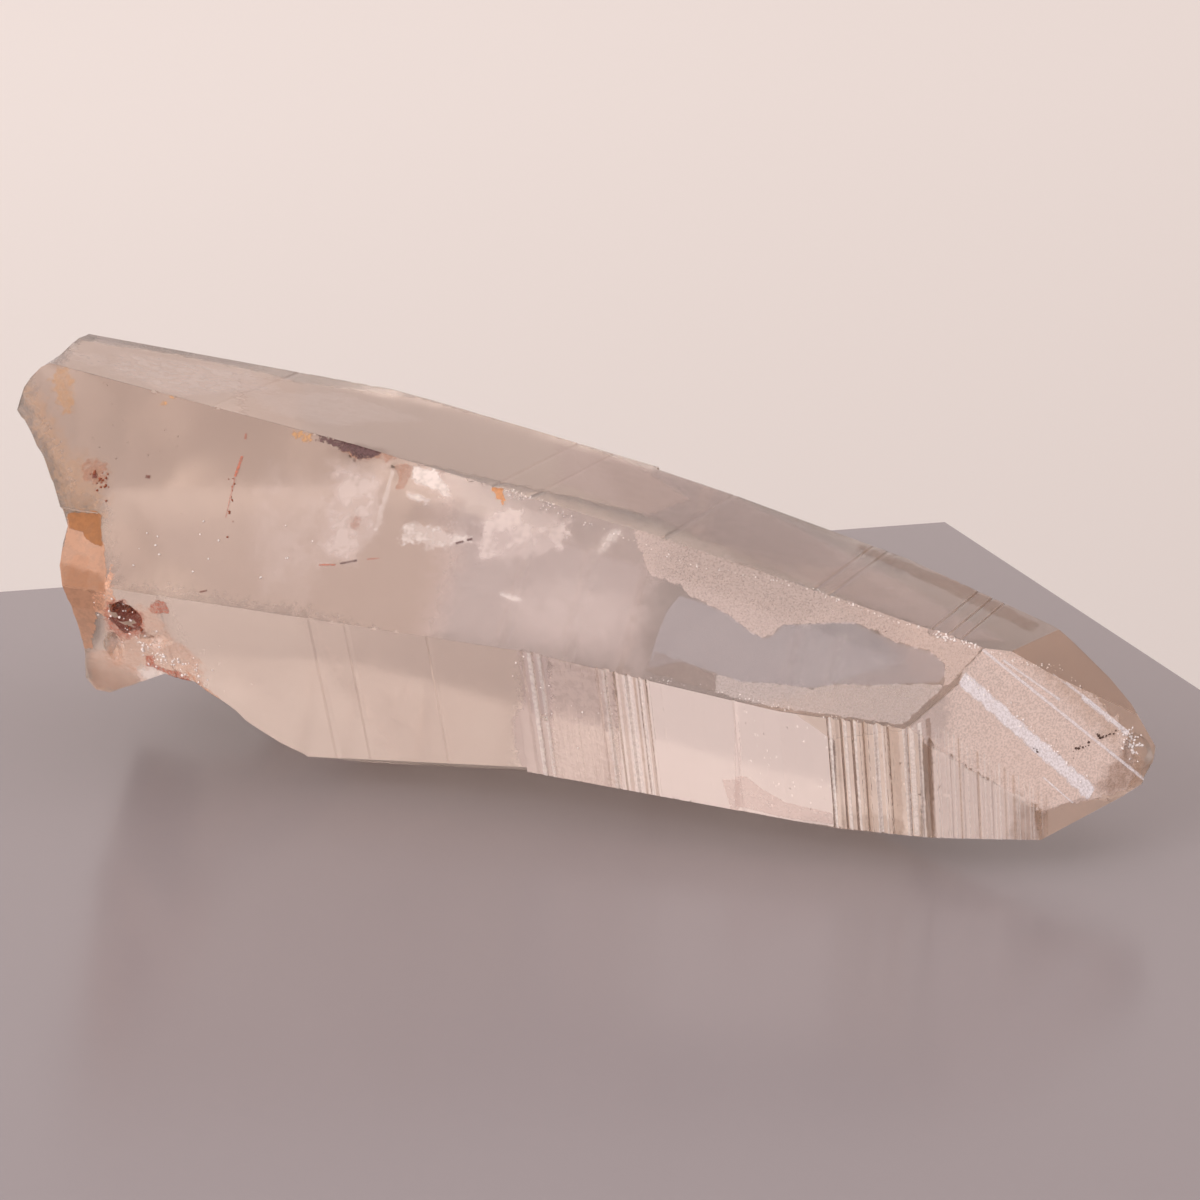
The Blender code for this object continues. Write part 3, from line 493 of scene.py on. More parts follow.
# Growth stripes across the lower front face: station, width, tone and strength.
Stripe = namedtuple("Stripe", "face station width tone strength")
STRIPES = (
    Stripe("lower_front_middle", 0.9, 0.50, "line", 0.45),
    Stripe("lower_front_middle", 1.9, 0.40, "line", 0.35),
    Stripe("lower_front_middle", 8.6, 0.50, "line", 0.35),
    Stripe("lower_front_middle", 10.2, 0.45, "tan", 0.25),
    Stripe("lower_front_middle", 11.0, 0.70, "line", 0.50),
    Stripe("lower_front_middle", 11.7, 0.25, "tan", 0.40),
    Stripe("lower_front_middle", 12.3, 0.35, "line", 0.50),
    Stripe("lower_front_middle", 12.7, 0.22, "tan", 0.25),
    Stripe("lower_front_fore", 31.0, 0.30, "line", 0.75),
    Stripe("lower_front_fore", 31.7, 0.22, "brown", 0.18),
    Stripe("lower_front_fore", 32.5, 0.35, "line", 0.60),
    Stripe("lower_front_fore", 33.4, 0.30, "line", 0.65),
    Stripe("lower_front_fore", 34.3, 0.60, "tan", 0.25),
    Stripe("lower_front_fore", 35.4, 0.40, "line", 0.70),
    Stripe("lower_front_fore", 36.1, 0.20, "line", 0.45),
    Stripe("lower_front_fore", 37.1, 1.00, "tan", 0.25),
    Stripe("lower_front_fore", 38.2, 0.40, "line", 0.55),
    Stripe("lower_front_fore", 38.8, 0.50, "line", 0.60),
    Stripe("lower_front_neck", 39.5, 0.35, "line", 0.60),
    Stripe("lower_front_neck", 40.3, 0.45, "brown", 0.34),
)
FINE_STRIPE_START, FINE_STRIPE_END, FINE_STRIPE_GAP = 40.9, 50.5, 0.34

# Milky veils inside: face they hang below, middle, depth, half sizes, turn, tilts, strength.
Veil = namedtuple("Veil", "face along across depth length width turn roll pitch strength")
VEILS = (
    Veil("upper_front", -20.3, 1.4, 3.6, 5.2, 4.6, 0.0, 12.0, 4.0, 0.34),
    Veil("upper_front", -8.0, -1.6, 3.4, 5.0, 2.8, 12.0, 14.0, 5.0, 0.34),
    Veil("upper_front", 3.0, -1.0, 4.2, 7.0, 4.0, 8.0, 16.0, -6.0, 0.26),
    Veil("lower_front_rear", -20.5, 4.6, 1.8, 2.2, 4.0, 8.0, 8.0, 6.0, 0.34),
    Veil("lower_front_rear", -15.8, 2.0, 2.2, 1.8, 4.0, 14.0, 10.0, 4.0, 0.34),
    Veil("lower_front_rear", -28.0, 3.0, 3.0, 4.6, 5.0, 20.0, 10.0, 4.0, 0.22),
    Veil("top_middle", -18.0, 0.0, 3.0, 16.0, 5.0, 3.0, 10.0, 2.0, 0.30),
    Veil("top_rear", -40.0, 0.0, 2.4, 9.0, 4.0, -4.0, 12.0, 2.0, 0.30),
)

VEIL_WAVE = 0.35

STRIPE_BORDERS = {
    "lower_front_middle": ("upper_front", "under_middle"),
    "lower_front_fore": ("upper_front", "under_fore"),
    "lower_front_neck": ("upper_front", "under_neck"),
}

# Camera, floor and light: turn, lift and roll in degrees, millimetres, metres.
CAMERA_ANGLES = (20.5, 16.0, -0.31)
CAMERA_AIM = (1.0588, 0.6760, 18.7)
CAMERA_DISTANCE = 400.0
FLOOR_CORNERS = ((0.0066, 0.1093, 0.0), (-2.448, -1.616, 0.0), (-0.62, -4.0, 0.0), (1.829, -2.274, 0.0))
WALL_CORNERS = ((-2.706, -1.248, -3.0), (2.202, 2.202, -3.0), (2.202, 2.202, 3.0), (-2.706, -1.248, 3.0))
LIGHT_AIM = (0.0, 0.0, 0.02)
KEY_PLACE = (-0.30, -0.90, 0.36)

# Tones of the films: colour, depth below the skin, size and share of their grain.
Tone = namedtuple("Tone", "colour depth grain_size grain")
TONES = {
    # haze: partly milky haze, partly painted shade that darkens the upper front face.
    "haze": Tone((0.715, 0.620, 0.570), -0.015, 3.00, 0.07),
    # Partly milky haze, partly painted light on faces that would look dark where the floor shows through
    # them.
    "pale haze and painted light": Tone((0.87, 0.79, 0.745), -0.015, 3.00, 0.10),
    "haze rose": Tone((0.85, 0.77, 0.755), -0.015, 3.00, 0.12),
    "rose frost": Tone((0.83, 0.745, 0.715), -0.02, 0.20, 0.28),
    "tip frost": Tone((0.92, 0.84, 0.81), -0.02, 0.20, 0.35),
    "grey frost": Tone((0.76, 0.705, 0.69), -0.02, 0.20, 0.28),
    "frost": Tone((0.97, 0.95, 0.97), -0.04, 0.22, 0.35),
    "white": Tone((0.95, 0.90, 0.88), -0.025, 1.40, 0.40),
    "milk": Tone((0.90, 0.83, 0.81), -0.020, 2.20, 0.50),
    "line": Tone((0.98, 0.94, 0.92), -0.045, 0.50, 0.30),
    "cream": Tone((0.97, 0.905, 0.88), -0.02, 0.90, 0.10),
    "rose": Tone((0.93, 0.84, 0.81), -0.03, 0.90, 0.20),
    "blue": Tone((0.74, 0.73, 0.77), -0.02, 2.00, 0.10),
    "shade": Tone((0.58, 0.50, 0.47), -0.03, 1.20, 0.30),
    "tan light": Tone((0.91, 0.83, 0.78), -0.03, 0.70, 0.15),
    "tan": Tone((0.78, 0.67, 0.59), -0.03, 0.70, 0.25),
    "brown": Tone((0.55, 0.41, 0.32), -0.03, 0.70, 0.30),
    "peach": Tone((0.88, 0.66, 0.54), -0.03, 0.35, 0.45),
    "ochre": Tone((0.80, 0.60, 0.40), -0.03, 0.45, 0.50),
    "orange": Tone((0.80, 0.52, 0.27), -0.04, 0.30, 0.30),
    "amber": Tone((0.60, 0.38, 0.20), -0.04, 0.90, 0.20),
    "copper": Tone((0.74, 0.55, 0.44), -0.03, 0.90, 0.20),
    "rust": Tone((0.68, 0.47, 0.38), -0.03, 0.40, 0.45),
    "rust red": Tone((0.72, 0.38, 0.28), -0.05, 0.30, 0.45),
    "umber": Tone((0.36, 0.24, 0.24), -0.05, 0.35, 0.40),
    "umber red": Tone((0.42, 0.18, 0.13), -0.06, 0.35, 0.35),
}
FILM_REACH = 3.0
FILM_STEP = 0.0004
FILM_FINE = 0.45
FILM_TILT = 0.75
STAIN_TILT = 0.35
STAINS = ("amber", "copper", "peach", "rust", "rust red", "umber", "umber red", "ochre", "orange")
FILM_ROUNDS = 4
FAINT_GRAIN = 0.16
STREAK_STEP = 0.5
STREAK_RAGGED = 0.22
STREAK_REACH = 1.0
STREAK_PLACES = (-1.4, -0.7, 0.0, 0.7, 1.4)
STREAK_SOFT, STREAK_SOFT_SHARE = 0.03, 0.1
FILM_MARGIN = 1.5
FILM_ROUGHNESS = 0.60
RIM_NOISE_SIZE = 0.9


# ---------------------------------------------------------------- settings a user would change
def colour_property(name, description, default):
    """Colour setting with three channels."""
    return FloatVectorProperty(
        name=name, description=description, default=default, size=3, min=0.0, max=1.0, subtype="COLOR",
    )


class QuartzCrystalSettings(PropertyGroup):
    """Clear quartz of the crystal."""

    transmission: FloatProperty(
        name="Clearness", description="Share of light that passes through the quartz",
        default=0.96, min=0.0, max=1.0, subtype="FACTOR",
    )
    ior: FloatProperty(
        name="Refraction", description="Index of refraction of quartz", default=1.544, min=1.0, max=2.0,
    )
    absorption_density: FloatProperty(
        name="Depth of tint", description="How fast the tint deepens, per metre",
        default=9.0, min=0.0, max=200.0,
    )
    absorption_colour: colour_property("Tint", "Colour that deep quartz takes", (0.80, 0.60, 0.46))


class QuartzFilmSettings(PropertyGroup):
    """Frost, milk, growth stripes, iron stains, and hazes of painted light and shade in the skin."""

    strength: FloatProperty(
        name="Strength", description="Strength of all films", default=1.0, min=0.0, max=1.5,
        subtype="FACTOR",
    )


class QuartzVeilSettings(PropertyGroup):
    """Milky veils inside the crystal."""

    colour: colour_property("Milk", "Colour of the veils", (0.86, 0.80, 0.78))
    divisions: IntProperty(
        name="Divisions", description="Mesh divisions along a veil", default=28, min=6, max=80,
    )


class QuartzStageSettings(PropertyGroup):
    """Camera, floor and light."""

    floor_colour: colour_property("Floor", "Colour of the floor", (0.295, 0.262, 0.278))
    wall_colour: colour_property("Backdrop", "Colour of the backdrop", (0.72, 0.665, 0.640))
    sky_colour: colour_property("Surroundings", "Colour of the room", (0.79, 0.72, 0.70))
    sky_strength: FloatProperty(
        name="Room light", description="Strength of the light from the room", default=1.15,
        min=0.0, max=5.0,
    )
    key_power: FloatProperty(
        name="Key light", description="Power of the large front light", default=8.0, min=0.0, max=200.0,
        unit="POWER",
    )
    lens: FloatProperty(
        name="Lens", description="Focal length in millimetres", default=120.0, min=10.0, max=400.0,
        subtype="DISTANCE_CAMERA",
    )


class QuartzSettings(PropertyGroup):
    """All settings of the quartz point."""

    crystal: PointerProperty(name="Crystal", description="Clear quartz", type=QuartzCrystalSettings)
    film: PointerProperty(name="Films", description="Frost, stripes and stains", type=QuartzFilmSettings)
    veil: PointerProperty(name="Veils", description="Milky veils", type=QuartzVeilSettings)
    stage: PointerProperty(name="Stage", description="Camera, floor and light", type=QuartzStageSettings)


# ---------------------------------------------------------------- shared geometry helpers
def linear(colour):
    """Display colour turned into a linear one."""
    return tuple(
        value / 12.92 if value <= 0.04045 else ((value + 0.055) / 1.055) ** 2.4 for value in colour
    )


def axis_frame():
    """Directions along the crystal, across it and square to both."""
    along = Vector((math.cos(AXIS_PITCH), 0.0, -math.sin(AXIS_PITCH)))
    across = Vector((0.0, 1.0, 0.0))
    rise = Vector((math.sin(AXIS_PITCH), 0.0, math.cos(AXIS_PITCH)))
    return along, across, rise


def face_normal(face):
    """Outward direction of a crystal face."""
    along, across, rise = axis_frame()
    turn = math.radians(face.roll + 90.0)
    lean = math.radians(face.taper)
    side = math.cos(turn) * across + math.sin(turn) * rise
    return (math.cos(lean) * side + math.sin(lean) * along).normalized()


def face_matrix(name):
    """Frame of a face in millimetres: along it, across it, outward."""
    face = FACES[name]
    along, _, _ = axis_frame()
    normal = face_normal(face)
    run = (along - along.dot(normal) * normal).normalized()
    side = normal.cross(run)
    frame_of_face = Matrix((run, side, normal)).transposed().to_4x4()
    frame_of_face.translation = AXIS_CENTRE + face.distance * normal
    return frame_of_face


def station_on_face(name, station):
    """Distance along a face, from its foot point, of a station on the axis."""
    face = FACES[name]
    lean = math.radians(face.taper)
    return (station - math.sin(lean) * face.distance) / math.cos(lean)


def across_at_edge(name, neighbour, station):
    """Where a face meets its neighbour at a station, measured across the face."""
    along, _, _ = axis_frame()
    first, second = FACES[name], FACES[neighbour]
    rows = Matrix((face_normal(first), face_normal(second), along))
    corner = AXIS_CENTRE + rows.inverted() @ Vector((first.distance, second.distance, station))
    return (face_matrix(name).inverted() @ corner).y


def inside_distance(spots, outline):
    """Distance to a closed outline, positive inside it."""
    corners = np.array(outline)
    best = np.full(len(spots), 1e9)
    inside = np.zeros(len(spots), bool)
    for start, end in zip(corners, np.roll(corners, -1, axis=0)):
        best = np.minimum(best, segment_distance(spots, start, end))
        crosses = (start[1] > spots[:, 1]) != (end[1] > spots[:, 1])
        rise = end[1] - start[1] if end[1] != start[1] else 1e-9
        reach = start[0] + (spots[:, 1] - start[1]) / rise * (end[0] - start[0])
        inside ^= crosses & (spots[:, 0] < reach)
    return np.where(inside, best, -best)


def segment_distance(spots, start, end):
    """Distance from each spot to a straight line between two points."""
    start, end = np.array(start), np.array(end)
    span = end - start
    share = np.clip(((spots - start) @ span) / (span @ span), 0.0, 1.0)
    return np.linalg.norm(spots - (start + share[:, None] * span), axis=1)


def smooth_step(values, low, high):
    """Smooth ramp from 0 at low to 1 at high."""
    share = np.clip((values - low) / (high - low), 0.0, 1.0)
    return share * share * (3.0 - 2.0 * share)


def inside_box(spot):
    """Nearest place, in metres, that is inside the crystal's box."""
    low, high = CRYSTAL_BOX
    return Vector([min(max(spot[k], low[k]), high[k]) for k in range(3)])


def make_object(name, bm, material, ridden=True):
    """Turn a bmesh into a piece of the crystal."""
    mesh = bpy.data.meshes.new(name)
    bm.to_mesh(mesh)
    bm.free()
    made = bpy.data.objects.new(name, mesh)
    bpy.context.scene.collection.objects.link(made)
    mesh.materials.append(material)
    if ridden:
        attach(made, BODY)
    return made


# ---------------------------------------------------------------- shader helpers
def new_material(name):
    """Empty node material with its shader and output."""
    made = bpy.data.materials.new(name)
    made.use_nodes = True
    nodes = made.node_tree.nodes
    return made, made.node_tree, nodes["Principled BSDF"], nodes["Material Output"]


def add_node(tree, kind, **inputs):
    """Add a node and set its plain inputs by name."""
    node = tree.nodes.new(kind)
    for key, value in inputs.items():
        node.inputs[key.replace("_", " ")].default_value = value
    return node


def add_math(tree, operation, first, second=None, clamp=False):
    """Math node fed by sockets or plain numbers."""
    node = tree.nodes.new("ShaderNodeMath")
    node.operation = operation
    node.use_clamp = clamp
    for index, value in enumerate((first, second)):
        if value is None:
            continue
        if isinstance(value, bpy.types.NodeSocket):
            tree.links.new(value, node.inputs[index])
        else:
            node.inputs[index].default_value = value
    return node.outputs[0]


def add_ramp(tree, value, low, high, out_low=0.0, out_high=1.0):
    """Smooth ramp of a value between two limits."""
    node = tree.nodes.new("ShaderNodeMapRange")
    node.interpolation_type = "SMOOTHSTEP"
    tree.links.new(value, node.inputs["Value"])
    node.inputs["From Min"].default_value = low
    node.inputs["From Max"].default_value = high
    node.inputs["To Min"].default_value = out_low
    node.inputs["To Max"].default_value = out_high
    return node.outputs["Result"]


def add_noise(tree, size, detail=3.0, roughness=0.5):
    """Noise in object space with features of about this size in millimetres."""
    place = tree.nodes.new("ShaderNodeTexCoord")
    node = add_node(tree, "ShaderNodeTexNoise", Scale=1.0 / (size * MM), Detail=detail, Roughness=roughness)
    tree.links.new(place.outputs["Object"], node.inputs["Vector"])
    return node.outputs["Fac"]


def add_mix(tree, share, first, second, blend="MIX"):
    """Colour mix of sockets or plain colours."""
    node = tree.nodes.new("ShaderNodeMix")
    node.data_type = "RGBA"
    node.blend_type = blend
    for key, value in ((0, share), (6, first), (7, second)):
        if isinstance(value, bpy.types.NodeSocket):
            tree.links.new(value, node.inputs[key])
        elif key == 0:
            node.inputs[key].default_value = value
        else:
            node.inputs[key].default_value = (*value, 1.0)
    return node.outputs[2]


def attribute(tree, name):
    """Node that reads a named attribute of the mesh."""
    node = tree.nodes.new("ShaderNodeAttribute")
    node.attribute_name = name
    return node


# ---------------------------------------------------------------- crystal skin
def group_of(kind):
    """Skin group of a face kind."""
    if kind == BROKEN:
        return "broken"
    name = FACE_NAMES[kind]
    if name in SKINS:
        return name
    if name in TOP_FACES:
        return "top"
    if name in LOWER_FACES:
        return "lower_front"
    if name == "tip_bevel":
        return "tip_front"
    return "hidden"


def label_faces(bm, layer):
    """Write on every mesh face which crystal face it belongs to."""
    normals = np.array([face_normal(FACES[name])[:] for name in FACE_NAMES])
    limits = np.array([FACES[name].distance for name in FACE_NAMES])
    tilts = np.array([TILT_LIMITS.get(group_of(index), STEEP_TILT) for index in range(BROKEN)])
    bm.normal_update()
    for face in bm.faces:
        middle = np.array(face.calc_center_median()[:]) / MM - np.array(AXIS_CENTRE[:])
        gap = np.abs(normals @ middle - limits)
        match = normals @ np.array(face.normal[:])
        match[(gap > SAME_PLANE) | (match < tilts)] = -1.0
        face[layer] = int(match.argmax()) if match.max() > 0.0 else BROKEN


def slice_fine_lines(bm, layer):
    """Cut fine cross lines into the striped faces and return their stations and depths."""
    chance = random.Random(NOISE_SEED)
    along, _, _ = axis_frame()
    cuts = []
    for lines in FINE_LINES:
        kinds = {FACE_NAMES.index(name) for name in lines.faces}
        station = lines.start
        while station < lines.end:
            station += lines.gap * chance.uniform(0.5, 1.5)
            picked = [face for face in bm.faces if face[layer] in kinds]
            geometry = set(picked)
            for face in picked:
                geometry.update(face.edges)
                geometry.update(face.verts)
            spot = (AXIS_CENTRE + station * along) * MM
            bmesh.ops.bisect_plane(bm, geom=list(geometry), dist=1e-7, plane_co=spot, plane_no=along)
            cuts.append((kinds, station, lines.depth * chance.uniform(0.3, 1.4)))
    return cuts


def refine(bm, layer):
    """Split long triangle sides until each group of faces has its own fineness."""
    sides = [SKINS[group_of(kind)].side * MM for kind in range(BROKEN + 1)]
    for _ in range(REFINE_ROUNDS):
        too_long = [
            edge for edge in bm.edges
            if edge.calc_length() > min(sides[face[layer]] for face in edge.link_faces)
        ]
        if not too_long:
            break
        bmesh.ops.subdivide_edges(bm, edges=too_long, cuts=1)
        bmesh.ops.triangulate(bm, faces=[face for face in bm.faces if len(face.verts) > 3])
        bm.normal_update()
        flat = [
            edge for edge in bm.edges
            if len(edge.link_faces) == 2
            and edge.link_faces[0].normal.dot(edge.link_faces[1].normal) > FLAT_ENOUGH
            and edge.link_faces[0][layer] == edge.link_faces[1][layer]
        ]
        bmesh.ops.beautify_fill(bm, faces=bm.faces[:], edges=flat)


def roughen(bm, layer, cuts):
    """Press growth lines, ripples and grain into the skin, never outward."""
    along, _, _ = axis_frame()
    bm.normal_update()
    moves = []
    for vert in bm.verts:
        kinds = {face[layer] for face in vert.link_faces}
        skins = [SKINS[group_of(kind)] for kind in kinds]
        spot = vert.co / MM
        depth = min(skin.ripple for skin in skins) * (0.5 + 0.5 * noise.noise(spot / RIPPLE_SIZE))
        grain = min(skin.grain for skin in skins)
        if grain > 0.0:
            depth += grain * (0.5 + 0.5 * noise.noise(spot / GRAIN_SIZE))
        moves.append(depth)
    for vert, depth in zip(bm.verts, moves):
        vert.co -= vert.normal * depth * MM
    bm.verts.ensure_lookup_table()
    stations = np.array([(vert.co / MM - AXIS_CENTRE).dot(along) for vert in bm.verts])
    kind_sets = [{face[layer] for face in vert.link_faces} for vert in bm.verts]
    for kinds, station, depth in cuts:
        for index in np.nonzero(np.abs(stations - station) < ON_THE_LINE)[0]:
            shared = kind_sets[index] & kinds
            if shared:
                normal = face_normal(FACES[FACE_NAMES[min(shared)]])
                bm.verts[index].co -= normal * depth * MM
    for vert in bm.verts:
        vert.co = inside_box(vert.co)


def keep_edges_crisp(bm, layer):
    """Smooth shading inside each crystal face, sharp edges between faces."""
    for face in bm.faces:
        face.smooth = True
    for edge in bm.edges:
        faces = edge.link_faces
        same = faces[0][layer] == faces[-1][layer]
        edge.smooth = same and faces[0].normal.dot(faces[-1].normal) > CRISP_TILT


def base_tints(kinds, stations):
    """Colour and roughness of the skin at every face corner."""
    tint = np.zeros((len(kinds), 4))
    names = [group_of(kind) for kind in range(BROKEN + 1)]
    for group, skin in SKINS.items():
        picked = np.isin(kinds, [index for index, name in enumerate(names) if name == group])
        tint[picked, 3] = skin.roughness
        tint[picked, :3] = linear(GROUP_TINTS[group][0])
        for start, end, colour in GROUP_TINTS[group][1:]:
            share = smooth_step(stations[picked], start, end)[:, None]
            tint[picked, :3] = tint[picked, :3] * (1.0 - share) + np.array(linear(colour)) * share
    return tint


def paint_corners(mesh):
    """Write the tint and the roughness of every face corner."""
    count = len(mesh.loops)
    corners = np.zeros(count, int)
    mesh.loops.foreach_get("vertex_index", corners)
    places = np.zeros(len(mesh.vertices) * 3)
    mesh.vertices.foreach_get("co", places)
    points = places.reshape(-1, 3)[corners] / MM
    face_kinds = np.zeros(len(mesh.polygons), int)
    mesh.attributes["face_kind"].data.foreach_get("value", face_kinds)
    kinds = np.repeat(face_kinds, 3)
    along, _, _ = axis_frame()
    stations = (points - np.array(AXIS_CENTRE[:])) @ np.array(along[:])
    tint = base_tints(kinds, stations)
    layer = mesh.attributes.new("tint", "FLOAT_COLOR", "CORNER")
    layer.data.foreach_set("color", tint.astype(np.float32).ravel())


def quartz_material():
    """See-through quartz with a cloudy tint and a satin skin."""
    settings = bpy.context.scene.quartz_settings.crystal
    made, tree, shader, output = new_material("clear quartz")
    tint = attribute(tree, "tint")
    cloud = add_ramp(tree, add_noise(tree, CLOUD_SIZE, 2.0, 0.6), 0.30, 0.70)
    shaded = add_mix(tree, 1.0, tint.outputs["Color"], CLOUD_TINT, "MULTIPLY")
    tree.links.new(add_mix(tree, cloud, tint.outputs["Color"], shaded), shader.inputs["Base Color"])
    uneven = add_ramp(tree, add_noise(tree, 1.5, 2.0, 0.6), 0.30, 0.70, -0.04, 0.05)
    rough = add_math(tree, "ADD", tint.outputs["Alpha"], uneven, clamp=True)
    tree.links.new(rough, shader.inputs["Roughness"])
    bump = add_node(tree, "ShaderNodeBump", Strength=BUMP_STRENGTH, Distance=BUMP_DEPTH * MM)
    tree.links.new(add_noise(tree, BUMP_SIZE, 2.0, 0.65), bump.inputs["Height"])
    tree.links.new(bump.outputs["Normal"], shader.inputs["Normal"])
    shader.inputs["Transmission Weight"].default_value = settings.transmission
    shader.inputs["IOR"].default_value = settings.ior
    depth = add_node(
        tree, "ShaderNodeVolumeAbsorption",
        Color=(*settings.absorption_colour, 1.0), Density=settings.absorption_density,
    )
    tree.links.new(depth.outputs["Volume"], output.inputs["Volume"])
    return made


class QUARTZ_OT_crystal(Operator):
    """Build the crystal with its growth lines, ripples and grain"""

    bl_idname = "quartz.crystal"
    bl_label = "Crystal"

    def execute(self, context):
        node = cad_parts[CRYSTAL_NODE]
        bm = bmesh.new()
        bm.from_mesh(node.data)
        bmesh.ops.remove_doubles(bm, verts=bm.verts[:], dist=1e-6)
        bmesh.ops.dissolve_limit(
            bm, angle_limit=math.radians(0.2), verts=bm.verts[:], edges=bm.edges[:],
        )
        layer = bm.faces.layers.int.new("face_kind")
        label_faces(bm, layer)
        cuts = slice_fine_lines(bm, layer)
        bmesh.ops.triangulate(bm, faces=bm.faces[:])
        refine(bm, layer)
        roughen(bm, layer, cuts)
        bm.normal_update()
        keep_edges_crisp(bm, layer)
        made = make_object("crystal", bm, quartz_material())
        paint_corners(made.data)
        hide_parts(CRYSTAL_NODE)
        return {"FINISHED"}


# ---------------------------------------------------------------- films in the skin
def stripe_streak(stripe):
    """Streak right across the lower front face at a station."""
    middle = station_on_face(stripe.face, stripe.station)
    ends = [across_at_edge(stripe.face, border, stripe.station) for border in STRIPE_BORDERS[stripe.face]]
    start, end = ((middle, place) for place in ends)
    return Streak(stripe.face, start, end, stripe.width, stripe.tone, stripe.strength)


def fine_stripes():
    """Faint close stripes on the neck of the lower front face."""
    chance = random.Random(NOISE_SEED + 1)
    station = FINE_STRIPE_START
    stripes = []
    while station < FINE_STRIPE_END:
        tone = chance.choice(("line", "line", "tan"))
        width = chance.uniform(0.08, 0.20)
        stripes.append(Stripe("lower_front_neck", station, width, tone, chance.uniform(0.20, 0.50)))
        station += FINE_STRIPE_GAP * chance.uniform(0.5, 1.5)
    return stripes


def new_film_mesh():
    """Empty bmesh with the layers that a film's material reads."""
    bm = bmesh.new()
    return bm, [bm.verts.layers.float.new(name) for name in ("edge", "strength", "soft", "ragged")]


def place_vertex(vert, layers, spot, values):
    """Move a film's vertex to a spot in millimetres, inside the crystal's box, and set its layers."""
    vert.co = inside_box(spot * MM)
    for layer, value in zip(layers, values):
        vert[layer] = value


def streak_patch(tree, streak, rise):
    """Narrow strip along a straight line, laid on the skin and cut where the face ends."""
    bm, layers = new_film_mesh()
    matrix = face_matrix(streak.face)
    normal = face_normal(FACES[streak.face])
    start, end = Vector(streak.start), Vector(streak.end)
    side = (end - start).orthogonal().normalized() * streak.width / 2.0
    count = max(2, int((end - start).length / STREAK_STEP))
    rows = []
    for step in range(count + 1):
        row = []
        for place in STREAK_PLACES:
            spot = start.lerp(end, step / count) + side * place
            flat = matrix @ Vector((spot.x, spot.y, 0.0))
            found = tree.ray_cast(flat + normal * FILM_REACH, -normal, 2.0 * FILM_REACH)[0]
            if found is None or (found - flat).length > STREAK_REACH:
                row.append(None)
                continue
            edge = (1.0 - abs(place)) * streak.width / 2.0
            row.append(bm.verts.new())
            soft = STREAK_SOFT + STREAK_SOFT_SHARE * streak.width
            values = (edge, streak.strength, soft, STREAK_RAGGED * streak.width)
            place_vertex(row[-1], layers, found + normal * rise, values)
        rows.append(row)
    for first, second in zip(rows, rows[1:]):
        for j in range(len(first) - 1):
            corners = (first[j], first[j + 1], second[j + 1], second[j])
            if None not in corners:
                bm.faces.new(corners)
    loose = [vert for vert in bm.verts if not vert.link_faces]
    bmesh.ops.delete(bm, geom=loose, context="VERTS")
    return bm


def read_skin():
    """Positions, triangles and directions of the crystal's skin, in millimetres."""
    mesh = bpy.data.objects["crystal"].data
    places = np.zeros(len(mesh.vertices) * 3)
    mesh.vertices.foreach_get("co", places)
    corners = np.zeros(len(mesh.polygons) * 3, int)
    mesh.polygons.foreach_get("vertices", corners)
    normals = np.zeros(len(mesh.polygons) * 3)
    mesh.polygons.foreach_get("normal", normals)
    return places.reshape(-1, 3) / MM, corners.reshape(-1, 3), normals.reshape(-1, 3)


def film_patch(skin, film, rise):
    """Copy of the skin under a film, with the film's rim distance at every vertex."""
    places, corners, normals = skin
    inverse = np.array(face_matrix(film.face).inverted())
    outward = face_normal(FACES[film.face])
    reach = film.soft + film.ragged + FILM_MARGIN
    tilt = STAIN_TILT if film.tone in STAINS else FILM_TILT
    outline = np.array(film.outline)
    local = places @ inverse[:3, :3].T + inverse[:3, 3]
    middles = local[corners].mean(axis=1)
    near = (
        (np.abs(middles[:, 2]) < FILM_REACH) & (normals @ np.array(outward) > tilt)
        & np.all(middles[:, :2] > outline.min(axis=0) - reach, axis=1)
        & np.all(middles[:, :2] < outline.max(axis=0) + reach, axis=1)
    )
    picked = corners[near]
    used, picked = np.unique(picked, return_inverse=True)
    bm, layers = new_film_mesh()
    verts = [bm.verts.new(place) for place in places[used]]
    for triangle in picked.reshape(-1, 3):
        corner_verts = [verts[index] for index in triangle]
        if bm.faces.get(corner_verts) is None:
            bm.faces.new(corner_verts)
    fine = min(FILM_FINE, 1.5 * min(np.ptp(outline, axis=0)))
    for _ in range(FILM_ROUNDS):
        drop_outside(bm, inverse, film, 1.0)
        long_edges = [edge for edge in bm.edges if edge.calc_length() > fine]
        if not long_edges:
            break
        bmesh.ops.subdivide_edges(bm, edges=long_edges, cuts=1)
        bmesh.ops.triangulate(bm, faces=[face for face in bm.faces if len(face.verts) > 3])
    drop_outside(bm, inverse, film, 0.0)
    spots = np.array([vert.co[:] for vert in bm.verts]).reshape(-1, 3)
    edges = inside_distance((spots @ inverse[:3, :3].T + inverse[:3, 3])[:, :2], film.outline)
    for vert, edge in zip(bm.verts, edges):
        values = (edge, film.strength, film.soft, film.ragged)
        place_vertex(vert, layers, vert.co + outward * rise, values)
    for face in bm.faces:
        face.smooth = True
    return bm


def drop_outside(bm, inverse, film, spare):
    """Delete a patch's triangles outside its film's rim, sparing a share of their own size."""
    if not bm.faces:
        return
    bm.verts.index_update()
    spots = np.array([vert.co[:] for vert in bm.verts])
    edges = inside_distance((spots @ inverse[:3, :3].T + inverse[:3, 3])[:, :2], film.outline)
    limit = -(film.soft + 0.8 * film.ragged)
    outside = []
    for face in bm.faces:
        reach = spare * max(edge.calc_length() for edge in face.edges)
        if max(edges[vert.index] for vert in face.verts) < limit - reach:
            outside.append(face)
    bmesh.ops.delete(bm, geom=outside, context="FACES")


